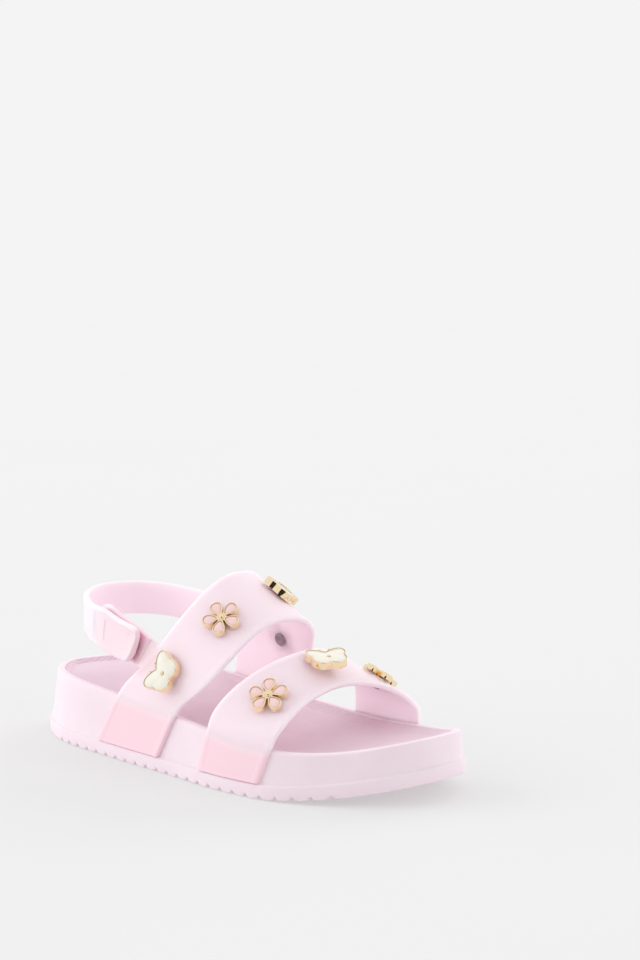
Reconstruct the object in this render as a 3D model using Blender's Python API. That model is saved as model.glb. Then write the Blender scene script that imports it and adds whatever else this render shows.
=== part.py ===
"""A child's two-band jelly sandal with a heel strap: the right shoe, standing empty on its sole.

Metres, +Z up. The heel is at -X, the toe at +X and the inner (big toe) side at +Y. The origin is on the
floor, under the middle of the sole's outline. Tables hold shares of the named sizes that they follow.
"""
import math

import bmesh
import bpy
import numpy as np

# The sole
SOLE_LENGTH = 0.170       # heel to toe along the lip
BALL_WIDTH = 0.0665       # across the lip at the ball of the foot
LIP_HEIGHT = 0.0047       # from the underside to the top of the outsole's lip
LIP_STEP = 0.0009         # how far the lip stands out of the footbed's wall
LIP_ROUND = 0.0005
TOE_SPRING = 0.0070       # how far the underside rises at the tip of the toe
HEEL_LIFT = 0.0008        # how far it rises at the very back
RIB_PITCH = 0.0053        # from one groove of the tread to the next
RIB_DEPTH = 0.0011
RIM_HEIGHT = 0.0222       # from the floor to the footbed's rim where it is highest
HEEL_DRAFT = 0.0019       # how far the wall leans in from lip to rim, at the heel
TOE_DRAFT = 0.0010        # and at the toe
RIM_ROUND = 0.0009
RIM_WIDTH = 0.0026        # the flat rim round the insole
CUP_DEPTH = 0.0050        # how far the insole sinks below the rim at the heel
INSOLE_THICKNESS = 0.0012
INSOLE_DROP = 0.0004      # the insole's edge below the rim

# The upper
BAND_THICKNESS = 0.0020
BAND_PROUD = 0.0013       # how far a band stands out of the footbed's wall
BEAD_WIDTH = 0.0019       # the thicker border along a band's edges
BEAD_STEP = 0.0003
ARCH_START = 0.0040       # above the rim, where a band's legs turn into its arch
REAR_CREST_BACK = 0.0632  # height of the rear band's back edge over the instep
REAR_CREST_FRONT = 0.0500
FRONT_CREST_BACK = 0.0420
FRONT_CREST_FRONT = 0.0325
STRAP_THICKNESS = 0.0019
STRAP_WIDTH = 0.0136      # the heel strap's height behind the heel
TAB_BORDER = 0.0012       # the raised border round the tab's panel
TAB_STEP = 0.0004
TAB_CORNER = 0.0038       # radius of the corners at the tab's end
EDGE_ROUND = 0.0004       # the eased edges of the bands and straps
STRAP_ROOT = 0.0016       # how deep the straps run into the rear band, with which they are moulded
PAD_THICKNESS = 0.0005
PAD_MARGIN = 0.0017

# The ornaments
FLOWER_SPAN = 0.0128
FLOWER_THICKNESS = 0.0019
BUTTERFLY_SPAN = 0.0136
BUTTERFLY_THICKNESS = 0.0025
ORNAMENT_RIM = 0.00045     # the gilt border round the enamel
ORNAMENT_ROUND = 0.00025
POCKET_DEPTH = 0.0007
ENAMEL_THICKNESS = 0.0005
ENAMEL_GAP = 0.00015      # between an enamel filling and its pocket
STUD_RADIUS = 0.00055
RIVET_RADIUS = 0.0023
RIVET_THICKNESS = 0.0006

CLEARANCE = 0.0003        # between pieces that meet

# The lip's outline. at: share of the length from the heel. outer, inner: shares of the ball width.
OUTLINE = (
    # at, outer side, inner side
    (0.000, 0.000, 0.000),
    (0.050, -0.215, 0.310),
    (0.160, -0.382, 0.440),
    (0.350, -0.445, 0.455),
    (0.510, -0.470, 0.425),
    (0.660, -0.498, 0.455),
    (0.790, -0.455, 0.500),
    (0.905, -0.285, 0.462),
    (0.980, -0.075, 0.330),
    (1.000, 0.117, 0.117),
)
# The rim's height as a share of RIM_HEIGHT, and the cup's depth as a share of CUP_DEPTH.
SIDE = (
    # at, rim, cup
    (0.00, 0.95, 0.90),
    (0.15, 1.00, 1.00),
    (0.30, 0.955, 0.90),
    (0.45, 0.88, 0.62),
    (0.60, 0.80, 0.50),
    (0.75, 0.69, 0.44),
    (0.88, 0.74, 0.48),
    (1.00, 0.95, 0.50),
)
SPRING_FROM = 0.72        # share of the length where the toe begins to rise
HEEL_FLAT_FROM = 0.05     # share of the length where the heel comes down to the floor
TREAD_FROM, TREAD_TO = 0.165, 0.905

# The edges of the bands. turn: degrees round the arch from the outer leg. back, front: shares of length.
REAR_BAND = (
    # turn, back edge, front edge
    (0, 0.357, 0.530),
    (20, 0.430, 0.592),
    (40, 0.475, 0.624),
    (60, 0.501, 0.636),
    (90, 0.515, 0.638),
    (120, 0.485, 0.622),
    (140, 0.434, 0.598),
    (160, 0.380, 0.567),
    (180, 0.343, 0.536),
)
FRONT_BAND = (
    (0, 0.624, 0.780),
    (20, 0.641, 0.788),
    (40, 0.662, 0.790),
    (60, 0.685, 0.789),
    (90, 0.708, 0.787),
    (120, 0.705, 0.795),
    (140, 0.692, 0.803),
    (160, 0.677, 0.812),
    (180, 0.671, 0.821),
)
# Where the legs stand on the lip: outer back, outer front, inner back, inner front.
REAR_FEET = (0.296, 0.480, 0.322, 0.507)
FRONT_FEET = (0.603, 0.754, 0.663, 0.811)
# How the two halves of an arch run, outer and inner: over 1 the first leans the side in, and the second
# narrows the crown. The rear band stands fuller over the high inner side of the instep.
REAR_ARCH = ((1.08, 1.12), (0.82, 0.91))
FRONT_ARCH = ((1.08, 1.12), (1.08, 1.12))

# The closure strip's middle line, from the rear band's outer side back to its free end.
CLOSURE_PATH = (
    # share of length, of ball width, of the rear crest's height, of the strap's width
    (0.372, -0.372, 0.606, 0.94),
    (0.315, -0.340, 0.636, 0.94),
    (0.262, -0.305, 0.668, 0.94),
    (0.236, -0.284, 0.680, 0.90),
)
# The heel strap's middle line, from the rear band's inner side round the heel to where its tab begins.
STRAP_PATH = (
    (0.275, 0.378, 0.668, 0.84),
    (0.170, 0.330, 0.688, 0.84),
    (0.110, 0.205, 0.694, 0.86),
    (0.090, 0.040, 0.688, 0.88),
    (0.118, -0.130, 0.672, 0.90),
    (0.190, -0.268, 0.655, 0.92),
)
# The tab, which lies along the closure strip.
TAB_PATH = (
    # row of the closure's path, share of the strap's width below its middle, share of the width
    (3.60, 0.00, 1.00),
    (2.65, -0.04, 0.99),
    (2.08, -0.08, 0.96),
    (1.52, -0.11, 0.92),
)
STRAP_TURNS = (143, 162)  # where the strap leaves the rear band: upper and lower edge, degrees
CLOSURE_TURNS = (27, 14)  # where the closure strip leaves it on the outer side
PADS = (
    # name, its ends as rows of the closure's path
    ("loop_pad", 1.35, 3.2),
    ("hook_pad", 1.75, 2.8),
)

# The ornaments, from the outer side to the inner one.
ORNAMENTS = (
    # name, band, degrees round its arch, share of its width from the back edge, turned, leant back and
    # tipped up the arch by degrees
    ("rear_butterfly_1", "rear", 17, 0.47, -4, 0, 12),
    ("rear_flower_1", "rear", 57, 0.53, 4, 0, 0),
    ("rear_butterfly_2", "rear", 111, 0.50, 0, 0, 0),
    ("rear_flower_2", "rear", 157, 0.56, 12, 0, 0),
    ("front_flower_1", "front", 39, 0.54, 33, 0, 0),
    ("front_butterfly_1", "front", 86, 0.62, -30, 22, -2),
    ("front_flower_2", "front", 142, 0.52, 20, 0, 0),
)
PETALS = 5
PETAL_ROUND = 0.165       # radius of a petal's round end, as a share of the flower's span
PETAL_TIP = 0.085         # where a petal's pocket begins, from the flower's middle
FLOWER_VALLEY = 0.105     # how deep the outline runs in between two petals
FLOWER_HEART = 0.085      # radius of the dome in the middle
WING = (
    # half of a butterfly, from its notch round the wing: shares of its span to the side and upward
    (0.00, 0.25),
    (0.07, 0.30),
    (0.18, 0.36),
    (0.33, 0.40),
    (0.44, 0.37),
    (0.49, 0.27),
    (0.47, 0.14),
    (0.42, 0.05),
    (0.43, -0.04),
    (0.40, -0.16),
    (0.32, -0.27),
    (0.20, -0.33),
    (0.08, -0.31),
    (0.00, -0.27),
)


def smooth_value(at, places, values):
    """Reads a table at one place, on a smooth curve that doesn't overshoot the table's rows."""
    places = np.asarray(places, float)
    values = np.asarray(values, float)
    at = float(np.clip(at, places[0], places[-1]))
    k = int(np.clip(np.searchsorted(places, at, side="right") - 1, 0, len(places) - 2))
    steps = np.diff(places)
    slopes = np.diff(values) / steps
    tangents = np.concatenate([[slopes[0]], (slopes[1:] + slopes[:-1]) / 2, [slopes[-1]]])
    flat = slopes[1:] * slopes[:-1] <= 0
    tangents[1:-1][flat] = 0
    t = (at - places[k]) / steps[k]
    rise = (values[k], values[k + 1], tangents[k] * steps[k], tangents[k + 1] * steps[k])
    return (rise[0] * (2 * t**3 - 3 * t**2 + 1) + rise[1] * (3 * t**2 - 2 * t**3)
            + rise[2] * (t**3 - 2 * t**2 + t) + rise[3] * (t**3 - t**2))


def curve_through(points, per_span, closed=False):
    """Points along a smooth centripetal curve through the given ones."""
    points = [np.asarray(p, float) for p in points]
    if closed:
        points = [points[-1], *points, points[0], points[1]]
    else:
        points = [2 * points[0] - points[1], *points, 2 * points[-1] - points[-2]]
    out = []
    for a, b, c, d in zip(points, points[1:], points[2:], points[3:]):
        ab, bc, cd = (max(np.linalg.norm(q - p), 1e-9) ** 0.5 for p, q in ((a, b), (b, c), (c, d)))
        leave = (c - b) + bc * ((b - a) / ab - (c - a) / (ab + bc))
        arrive = (c - b) + bc * ((d - c) / cd - (d - b) / (bc + cd))
        for t in np.arange(per_span) / per_span:
            out.append((2 * t**3 - 3 * t**2 + 1) * b + (t**3 - 2 * t**2 + t) * leave
                       + (3 * t**2 - 2 * t**3) * c + (t**3 - t**2) * arrive)
    if not closed:
        out.append(points[-2])
    return np.array(out)


def length_share(x):
    """The share of the sole's length at x, from the heel."""
    return x / SOLE_LENGTH + 0.5


def at_share(share):
    """The x at a share of the sole's length from the heel."""
    return (share - 0.5) * SOLE_LENGTH


def lip_sides():
    """The lip's outline as its outer and inner side, each from heel to toe: x, y and the way inward."""
    outer = [(row[0] * SOLE_LENGTH, row[1] * BALL_WIDTH) for row in OUTLINE]
    inner = [(row[0] * SOLE_LENGTH, row[2] * BALL_WIDTH) for row in OUTLINE[-2:0:-1]]
    line = curve_through(outer + inner, 40, closed=True)
    low, high = line.min(0), line.max(0)
    line = (line - (low + high) / 2) * [SOLE_LENGTH / (high[0] - low[0]), BALL_WIDTH / (high[1] - low[1])]
    along = np.roll(line, -1, 0) - np.roll(line, 1, 0)
    along /= np.linalg.norm(along, axis=1)[:, None]
    inward = np.stack([-along[:, 1], along[:, 0]], 1)
    rows = np.hstack([line, inward])
    rows = np.roll(rows, -int(line[:, 0].argmin()), axis=0)
    toe = int(rows[:, 0].argmax())
    return rows[:toe + 1], np.vstack([rows[:1], rows[:toe - 1:-1]])


OUTER_SIDE, INNER_SIDE = lip_sides()


def side_at(side, x):
    """A side of the lip at x: y and the way inward."""
    return tuple(np.interp(x, side[:, 0], side[:, k]) for k in (1, 2, 3))


def underside(x):
    """The height of the sole's underside at x, without its grooves."""
    share = length_share(x)
    if share > SPRING_FROM:
        return TOE_SPRING * ((share - SPRING_FROM) / (1 - SPRING_FROM)) ** 2
    return HEEL_LIFT * (max(HEEL_FLAT_FROM - share, 0) / HEEL_FLAT_FROM) ** 2


def lip_top(x):
    """The height of the top of the outsole at x."""
    return underside(x) + LIP_HEIGHT


def rim_top(x):
    """The height of the footbed's rim at x."""
    return RIM_HEIGHT * smooth_value(length_share(x), [r[0] for r in SIDE], [r[1] for r in SIDE])


def cup_depth(x):
    """How deep the insole lies below the rim at x."""
    return CUP_DEPTH * smooth_value(length_share(x), [r[0] for r in SIDE], [r[2] for r in SIDE])


def wall_inset(x, height):
    """How far the footbed's wall lies inside the lip's outline, at x and a height over the floor."""
    draft = HEEL_DRAFT + (TOE_DRAFT - HEEL_DRAFT) * length_share(x)
    rise = (height - lip_top(x)) / (rim_top(x) - lip_top(x))
    return LIP_STEP + draft * rise


def ring_places(inner_stations):
    """The outline's points with their way inward: heel, outer side, toe, inner side back to the heel."""
    heel, toe = OUTER_SIDE[0], OUTER_SIDE[-1]
    outer = [(x, *side_at(OUTER_SIDE, x)) for x in inner_stations]
    inner = [(x, *side_at(INNER_SIDE, x)) for x in reversed(inner_stations)]
    heel = (heel[0], heel[1], 1.0, 0.0)
    toe = (toe[0], toe[1], -1.0, 0.0)
    return np.array([heel, *outer, toe, *inner])


def inset_ring(places, inset, height):
    """A ring of points inside the outline. inset and height are functions of x."""
    ring = []
    for x, y, inward_x, inward_y in places:
        d = inset(x)
        moved = (x + inward_x * d, y + inward_y * d)
        ring.append((*moved, height(moved[0])))
    return ring


def add_ring(bm, points):
    """Adds one vertex for each point."""
    return [bm.verts.new(p) for p in points]


def bridge(bm, low, high):
    """Joins two rings with a wall of quads."""
    for k in range(len(low)):
        n = (k + 1) % len(low)
        bm.faces.new((low[k], low[n], high[n], high[k]))


def cap_across(bm, ring):
    """Closes a ring of matched sides with faces that run straight across."""
    half = len(ring) // 2
    for k in range(half):
        a, b = ring[k], ring[k + 1]
        c, d = ring[-k - 1], ring[-k] if k else ring[0]
        corners = list(dict.fromkeys((a, b, c, d)))
        bm.faces.new(corners)


def close_on_spine(bm, ring, spine):
    """Closes a ring of matched sides on a row of vertices along its middle."""
    last = len(ring) // 2
    for k in range(last):
        bm.faces.new((ring[k], ring[k + 1], spine[k + 1], spine[k]))
        bm.faces.new((ring[-k - 1], ring[-k] if k else ring[0], spine[k], spine[k + 1]))


def surface(name, colour, roughness, metallic=0.0):
    """A material with a plain finish. colour is sRGB, from 0 to 1."""
    material = bpy.data.materials.get(name)
    if material is None:
        material = bpy.data.materials.new(name)
        material.use_nodes = True
        shader = material.node_tree.nodes["Principled BSDF"]
        linear = [c / 12.92 if c <= 0.04045 else ((c + 0.055) / 1.055) ** 2.4 for c in colour]
        shader.inputs["Base Color"].default_value = (*linear, 1.0)
        shader.inputs["Roughness"].default_value = roughness
        shader.inputs["Metallic"].default_value = metallic
    return material


def sole_foam():
    return surface("moulded_sole_foam", (0.925, 0.835, 0.898), 0.55)


def insole_foam():
    return surface("ribbed_insole_foam", (0.914, 0.812, 0.871), 0.65)


def jelly():
    return surface("translucent_jelly", (0.976, 0.851, 0.914), 0.25)


def pad_fabric():
    return surface("hook_and_loop_fabric", (0.910, 0.663, 0.824), 0.9)


def gilt():
    return surface("gilt_metal", (0.882, 0.745, 0.510), 0.18, 1.0)


def enamel(pink):
    if pink:
        return surface("pink_enamel", (0.961, 0.816, 0.800), 0.12)
    return surface("ivory_enamel", (0.957, 0.941, 0.882), 0.12)


def rivet_metal():
    return surface("grey_rivet_metal", (0.686, 0.635, 0.663), 0.4, 1.0)


def add_object(name, bm, material, sharp_degrees=35):
    """Turns a finished bmesh into an object, with its faces pointing out."""
    bmesh.ops.recalc_face_normals(bm, faces=bm.faces)
    mesh = bpy.data.meshes.new(name)
    bm.to_mesh(mesh)
    bm.free()
    mesh.shade_smooth()
    mesh.set_sharp_from_angle(angle=math.radians(sharp_degrees))
    mesh.materials.append(material)
    obj = bpy.data.objects.new(name, mesh)
    bpy.context.scene.collection.objects.link(obj)
    return obj


def make_guide(obj):
    """Keeps an object as a form for a Boolean, out of the render."""
    obj.hide_render = True
    obj.display_type = "WIRE"
    return obj


def add_boolean(obj, operation, form):
    """Adds one Boolean to an object."""
    modifier = obj.modifiers.new(f"{operation.lower()}_{form.name}", "BOOLEAN")
    modifier.operation = operation
    modifier.solver = "EXACT"
    modifier.object = form


def end_stations(start, end, count):
    """Places between a tip of the sole at start and a place further in, closer together at the tip."""
    return [start + (end - start) * (1 - math.cos(math.pi / 2 * k / count)) for k in range(1, count)]


def add_outsole():
    """The outsole: a lip round the edge, straight grooves across the underside and a raised toe."""
    groove = (
        # phase of the pitch, share of the depth
        (-0.34, 0.0),
        (-0.15, 0.26),
        (0.0, 1.0),
        (0.15, 0.26),
        (0.34, 0.0),
    )
    count = int((TREAD_TO - TREAD_FROM) * SOLE_LENGTH / RIB_PITCH) + 1
    lifts = {}
    for k in range(count):
        middle = at_share(TREAD_FROM) + k * RIB_PITCH
        for phase, depth in groove:
            lifts[middle + phase * RIB_PITCH] = depth * RIB_DEPTH
    first, last = min(lifts), max(lifts)
    stations = end_stations(-SOLE_LENGTH / 2, first, 9) + sorted(lifts)
    stations += sorted(end_stations(SOLE_LENGTH / 2, last, 7))
    places = ring_places(stations)
    lift_of = {round(x, 9): lifts.get(x, 0.0) for x in stations}
    lift = [lift_of.get(round(x, 9), 0.0) for x in places[:, 0]]

    def ring(inset, height):
        points = inset_ring(places, lambda x: inset, height)
        return [(x, y, z + up) for (x, y, z), up in zip(points, lift)]

    bm = bmesh.new()
    sole = add_ring(bm, ring(LIP_ROUND, underside))
    edge = add_ring(bm, ring(0, lambda x: underside(x) + LIP_ROUND))
    lip = add_ring(bm, inset_ring(places, lambda x: 0, lambda x: lip_top(x) - LIP_ROUND))
    seat = add_ring(bm, inset_ring(places, lambda x: LIP_ROUND, lip_top))
    bridge(bm, sole, edge)
    bridge(bm, edge, lip)
    bridge(bm, lip, seat)
    cap_across(bm, sole)
    cap_across(bm, seat)
    return add_object("outsole", bm, sole_foam())


def foot_stations():
    """Places along the footbed and insole, closer together at the tips."""
    count = 34
    return [-SOLE_LENGTH / 2 * math.cos(math.pi * k / count) for k in range(1, count)]


CUP_RINGS = (
    # share of the way to the middle, share of the cup's depth
    (0.00, 0.00),
    (0.10, 0.30),
    (0.24, 0.62),
    (0.45, 0.86),
    (0.72, 0.98),
)
SPINE_LENGTH = 0.80       # the cup's middle line, as a share of the ring round it


def cup_surface(bm, places, border, drop):
    """Adds the cup's rings and closes them on its middle line. Returns the outermost ring's vertices."""
    def inset(x):
        return wall_inset(x, rim_top(x)) + border

    edge = np.array(inset_ring(places, inset, rim_top))
    half = len(edge) // 2
    middle = (edge[0, 0] + edge[half, 0]) / 2
    spine = [(edge[k] + edge[-k]) / 2 if 0 < k < half else edge[k] for k in range(half + 1)]
    spine = np.array([(middle + (p[0] - middle) * SPINE_LENGTH, p[1], 0) for p in spine])
    partner = np.array([spine[k if k <= half else len(edge) - k] for k in range(len(edge))])

    def lowered(points, depth):
        return [(x, y, rim_top(x) - INSOLE_DROP - depth * cup_depth(x) - drop) for x, y, _ in points]

    rings = [add_ring(bm, lowered(edge + (partner - edge) * share, depth)) for share, depth in CUP_RINGS]
    for outer, inner in zip(rings, rings[1:]):
        bridge(bm, outer, inner)
    close_on_spine(bm, rings[-1], add_ring(bm, lowered(spine, 1.0)))
    return rings[0]


def add_footbed():
    """The footbed: a straight wall, a rounded rim and a cupped recess that holds the insole."""
    places = ring_places(foot_stations())

    def wall(x):
        return wall_inset(x, rim_top(x) - RIM_ROUND)

    bm = bmesh.new()
    profile = [
        add_ring(bm, inset_ring(places, lambda x: LIP_STEP, lambda x: lip_top(x) + CLEARANCE)),
        add_ring(bm, inset_ring(places, wall, lambda x: rim_top(x) - RIM_ROUND)),
        add_ring(bm, inset_ring(places, lambda x: wall(x) + 0.3 * RIM_ROUND,
                                lambda x: rim_top(x) - 0.3 * RIM_ROUND)),
        add_ring(bm, inset_ring(places, lambda x: wall(x) + RIM_ROUND, rim_top)),
        add_ring(bm, inset_ring(places, lambda x: wall(x) + RIM_WIDTH, rim_top)),
    ]
    for low, high in zip(profile, profile[1:]):
        bridge(bm, low, high)
    recess = cup_surface(bm, places, RIM_WIDTH, INSOLE_THICKNESS + CLEARANCE)
    bridge(bm, profile[-1], recess)
    cap_across(bm, profile[0])
    return add_object("footbed", bm, sole_foam())


def add_insole():
    """The insole: a thin sheet in the footbed's recess, cupped with it."""
    places = ring_places(foot_stations())
    bm = bmesh.new()
    border = RIM_WIDTH + CLEARANCE
    top = cup_surface(bm, places, border, 0)
    under = cup_surface(bm, places, border, INSOLE_THICKNESS)
    bridge(bm, top, under)
    return add_object("insole", bm, insole_foam())


class Ribbon:
    """A strip between two edge curves, on which solids are laid.

    A place on it has a position along the strip, counted in rows of its table, a share of the way from
    the low edge to the high one, a distance added across, and a distance out of its outer face.
    """

    def __init__(self, low, high, inside):
        self.low = np.asarray(low, float)
        self.high = np.asarray(high, float)
        self.rows = len(self.low) - 1
        across = self.high - self.low
        self.across = across / np.linalg.norm(across, axis=1)[:, None]
        self.out = []
        for edge in (self.low, self.high):
            along = np.gradient(edge, axis=0)
            out = np.cross(along, self.across)
            out /= np.linalg.norm(out, axis=1)[:, None]
            flip = ((edge - inside) * out).sum(1) < 0
            out[flip] *= -1
            self.out.append(out)

    def point(self, row, share, add=0.0, out=0.0):
        """The place as a 3D point."""
        def read(values):
            return np.array([np.interp(row, np.arange(self.rows + 1), values[:, k]) for k in range(3)])
        low, high = read(self.low), read(self.high)
        away = read(self.out[0]) * (1 - share) + read(self.out[1]) * share
        away /= np.linalg.norm(away)
        return low + (high - low) * share + read(self.across) * add + away * out


def ribbon_solid(name, ribbon, rows, section, material):
    """Lays a solid on a ribbon. section gives, for a row, points of (share, distance added, out)."""
    bm = bmesh.new()
    rings = [add_ring(bm, [ribbon.point(row, *place) for place in section(row)]) for row in rows]
    for low, high in zip(rings, rings[1:]):
        bridge(bm, low, high)
    bm.faces.new(rings[0])
    bm.faces.new(rings[-1])
    return add_object(name, bm, material)


PETAL_ANGLES = (-112, -68, -23, 23, 68, 112)   # the corners of a petal's round end, in degrees
HEART_SIDES = 8
RIVET_SIDES = 10
ARCH_STEP = 10            # degrees from one row of a band's arch to the next
LEG_ROWS = 3              # rows in each leg of a band
SEAT_RUN = 0.25           # how far a leg's seat runs on below its foot, as a share of a row


def band_edge(table, column, feet, crest, powers):
    """One edge of a band's outer face, from the outer foot over the crest to the inner foot."""
    turns = [row[0] for row in table]
    shares = [row[column] for row in table]

    def arch(turn):
        x = at_share(smooth_value(turn, turns, shares))
        start = rim_top(x) + ARCH_START
        inset = wall_inset(x, start) - BAND_PROUD
        outer = side_at(OUTER_SIDE, x)[0] + inset
        inner = side_at(INNER_SIDE, x)[0] - inset
        middle, half = (outer + inner) / 2, (inner - outer) / 2
        cosine, sine = math.cos(math.radians(turn)), math.sin(math.radians(turn))
        side_power, top_power = powers[0] if turn <= 90 else powers[1]
        sideways = math.copysign(abs(cosine) ** side_power, cosine)
        return np.array([x, middle - half * sideways, start + (crest - start) * max(sine, 0.0) ** top_power])

    def foot(share, side):
        x = at_share(share)
        height = lip_top(x) + CLEARANCE
        y, _, inward = side_at(side, x)
        return np.array([x, y + math.copysign(wall_inset(x, height) - BAND_PROUD, inward), height])

    curve = [arch(turn) for turn in range(0, 181, ARCH_STEP)]
    shares = np.arange(LEG_ROWS)[:, None] / LEG_ROWS
    outer_foot, inner_foot = foot(feet[0], OUTER_SIDE), foot(feet[1], INNER_SIDE)
    outer_leg = outer_foot + (curve[0] - outer_foot) * shares
    inner_leg = inner_foot + (curve[-1] - inner_foot) * shares[::-1]
    return np.vstack([outer_leg, curve, inner_leg])


def band_ribbon(table, feet, crest_back, crest_front, powers):
    """A band's outer face as a ribbon. Its low edge is the back one."""
    back = band_edge(table, 1, (feet[0], feet[2]), crest_back, powers)
    front = band_edge(table, 2, (feet[1], feet[3]), crest_front, powers)
    middle = (back + front).mean(0) / 2
    return Ribbon(back, front, np.array([middle[0], 0.0, LIP_HEIGHT]))


REAR_RIBBON = band_ribbon(REAR_BAND, REAR_FEET, REAR_CREST_BACK, REAR_CREST_FRONT, REAR_ARCH)
FRONT_RIBBON = band_ribbon(FRONT_BAND, FRONT_FEET, FRONT_CREST_BACK, FRONT_CREST_FRONT, FRONT_ARCH)


def turn_row(turn):
    """The row of a band's ribbon at a turn round its arch."""
    return LEG_ROWS + turn / ARCH_STEP


BAND_SECTION = (
    # share of the way from the back edge to the front one, distance added, distance out
    (0, 0, EDGE_ROUND - BAND_THICKNESS),
    (0, EDGE_ROUND, -BAND_THICKNESS),
    (0.5, 0, -BAND_THICKNESS),
    (1, -EDGE_ROUND, -BAND_THICKNESS),
    (1, 0, EDGE_ROUND - BAND_THICKNESS),
    (1, 0, -EDGE_ROUND),
    (1, -EDGE_ROUND, 0),
    (1, -BEAD_WIDTH, 0),
    (1, -BEAD_WIDTH - BEAD_STEP, -BEAD_STEP),
    (0.5, 0, -BEAD_STEP),
    (0, BEAD_WIDTH + BEAD_STEP, -BEAD_STEP),
    (0, BEAD_WIDTH, 0),
    (0, EDGE_ROUND, 0),
    (0, 0, -EDGE_ROUND),
)


def add_band(name, ribbon):
    """A band of the upper: a thin arched wall with a thicker border."""
    return ribbon_solid(name, ribbon, range(ribbon.rows + 1), lambda row: BAND_SECTION, jelly())


def add_seats(footbed, name, ribbon):
    """Cuts the footbed's wall where a band's two legs lie in it, with clearance all round."""
    deep = BAND_THICKNESS + CLEARANCE
    proud = 3 * BAND_PROUD
    section = [(0, -CLEARANCE, -deep), (1, CLEARANCE, -deep), (1, CLEARANCE, proud), (0, -CLEARANCE, proud)]
    outer_rows = range(LEG_ROWS + 2)
    legs = {"outer": outer_rows, "inner": [ribbon.rows - row for row in outer_rows]}
    for side, rows in legs.items():
        cutter = ribbon_solid(f"{name}_{side}_seat", ribbon, rows, lambda row: section, sole_foam())
        vertices = cutter.data.vertices
        for k in range(len(section)):
            down = vertices[k].co - vertices[k + len(section)].co
            vertices[k].co += SEAT_RUN * down
        add_boolean(footbed, "DIFFERENCE", make_guide(cutter))


CLOSURE_SPAN = 3          # rows of the closure's ribbon for each row of its path
STRAP_SPAN = 4            # and of the strap's


def root_edges(turns):
    """The first two rows of a strip that grows out of the rear band's back edge."""
    upper, lower = (turn_row(turn) for turn in turns)
    sunk = (STRAP_THICKNESS - BAND_THICKNESS) / 2
    lows = [REAR_RIBBON.point(lower, 0, add, sunk) for add in (STRAP_ROOT, 0.0)]
    highs = [REAR_RIBBON.point(upper, 0, add, sunk) for add in (STRAP_ROOT, 0.0)]
    return lows, highs


def path_edges(lows, highs, path):
    """Adds a path's rows to a strip's edges, each square to the path and as upright as it can be."""
    middles = [np.array([at_share(x), y * BALL_WIDTH, z * REAR_CREST_BACK]) for x, y, z, _ in path]
    before = [(lows[-1] + highs[-1]) / 2, *middles[:-1]]
    after = [*middles[1:], 2 * middles[-1] - middles[-2]]
    for middle, row, last, following in zip(middles, path, before, after):
        along = (following - last) / np.linalg.norm(following - last)
        up = np.array([0, 0, 1.0]) - along[2] * along
        up *= row[3] * STRAP_WIDTH / 2 / np.linalg.norm(up)
        lows.append(middle - up)
        highs.append(middle + up)
    return lows, highs


def closure_ribbon():
    """The closure strip's outer face."""
    lows, highs = path_edges(*root_edges(CLOSURE_TURNS), CLOSURE_PATH)
    foot_middle = np.array([at_share(CLOSURE_PATH[0][0]), 0.0, lows[0][2]])
    return Ribbon(curve_through(lows, CLOSURE_SPAN), curve_through(highs, CLOSURE_SPAN), foot_middle)


CLOSURE = closure_ribbon()
PAD_STACK = 2 * PAD_THICKNESS + 3 * CLEARANCE


def strap_ribbon():
    """The heel strap's outer face, from inside the rear band round the heel to the tab's end."""
    lows, highs = path_edges(*root_edges(STRAP_TURNS), STRAP_PATH)
    for row, below, width in TAB_PATH:
        for edges, side in ((lows, -0.5), (highs, 0.5)):
            add = (side * width - below) * STRAP_WIDTH
            edges.append(CLOSURE.point(row * CLOSURE_SPAN, 0.5, add, PAD_STACK + STRAP_THICKNESS))
    heel_middle = np.array([at_share(STRAP_PATH[0][0]), 0.0, lows[-1][2]])
    return Ribbon(curve_through(lows, STRAP_SPAN), curve_through(highs, STRAP_SPAN), heel_middle)


STRAP = strap_ribbon()
TAB_ROW = (2 + len(STRAP_PATH)) * STRAP_SPAN


def end_inset(distance, radius):
    """How far a rounded corner has drawn in, at a distance from the strip's end."""
    if distance >= radius:
        return 0.0
    return radius - math.sqrt(radius**2 - (radius - distance) ** 2)


def from_end(ribbon, row):
    """The distance from a row to the ribbon's end."""
    return float(np.linalg.norm(ribbon.point(ribbon.rows, 0.5) - ribbon.point(row, 0.5)))


def rows_to_end(ribbon, distances, first=0.0):
    """A ribbon's rows from the first one on, with more at the given distances from its end."""
    last = from_end(ribbon, ribbon.rows - 1)
    rows = {float(row) for row in range(math.ceil(first), ribbon.rows)}
    return sorted(rows | {first} | {ribbon.rows - distance / last for distance in distances})


def strap_section(row):
    """The heel strap's section: plain behind the heel, with a raised border round the tab's panel."""
    left = from_end(STRAP, row)
    cut = end_inset(left, TAB_CORNER)
    panel_cut = end_inset(max(left - TAB_BORDER, 0), TAB_CORNER - TAB_BORDER)
    border = max(TAB_BORDER, TAB_BORDER + panel_cut - cut)
    step = TAB_STEP if TAB_ROW < row and left > TAB_BORDER else 0.0
    return [
        (0, cut, EDGE_ROUND - STRAP_THICKNESS),
        (0, cut + EDGE_ROUND, -STRAP_THICKNESS),
        (1, -cut - EDGE_ROUND, -STRAP_THICKNESS),
        (1, -cut, EDGE_ROUND - STRAP_THICKNESS),
        (1, -cut, -EDGE_ROUND),
        (1, -cut - EDGE_ROUND, 0),
        (1, -cut - border, 0),
        (1, -cut - border - TAB_STEP, -step),
        (0, cut + border + TAB_STEP, -step),
        (0, cut + border, 0),
        (0, cut + EDGE_ROUND, 0),
        (0, cut, -EDGE_ROUND),
    ]


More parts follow.
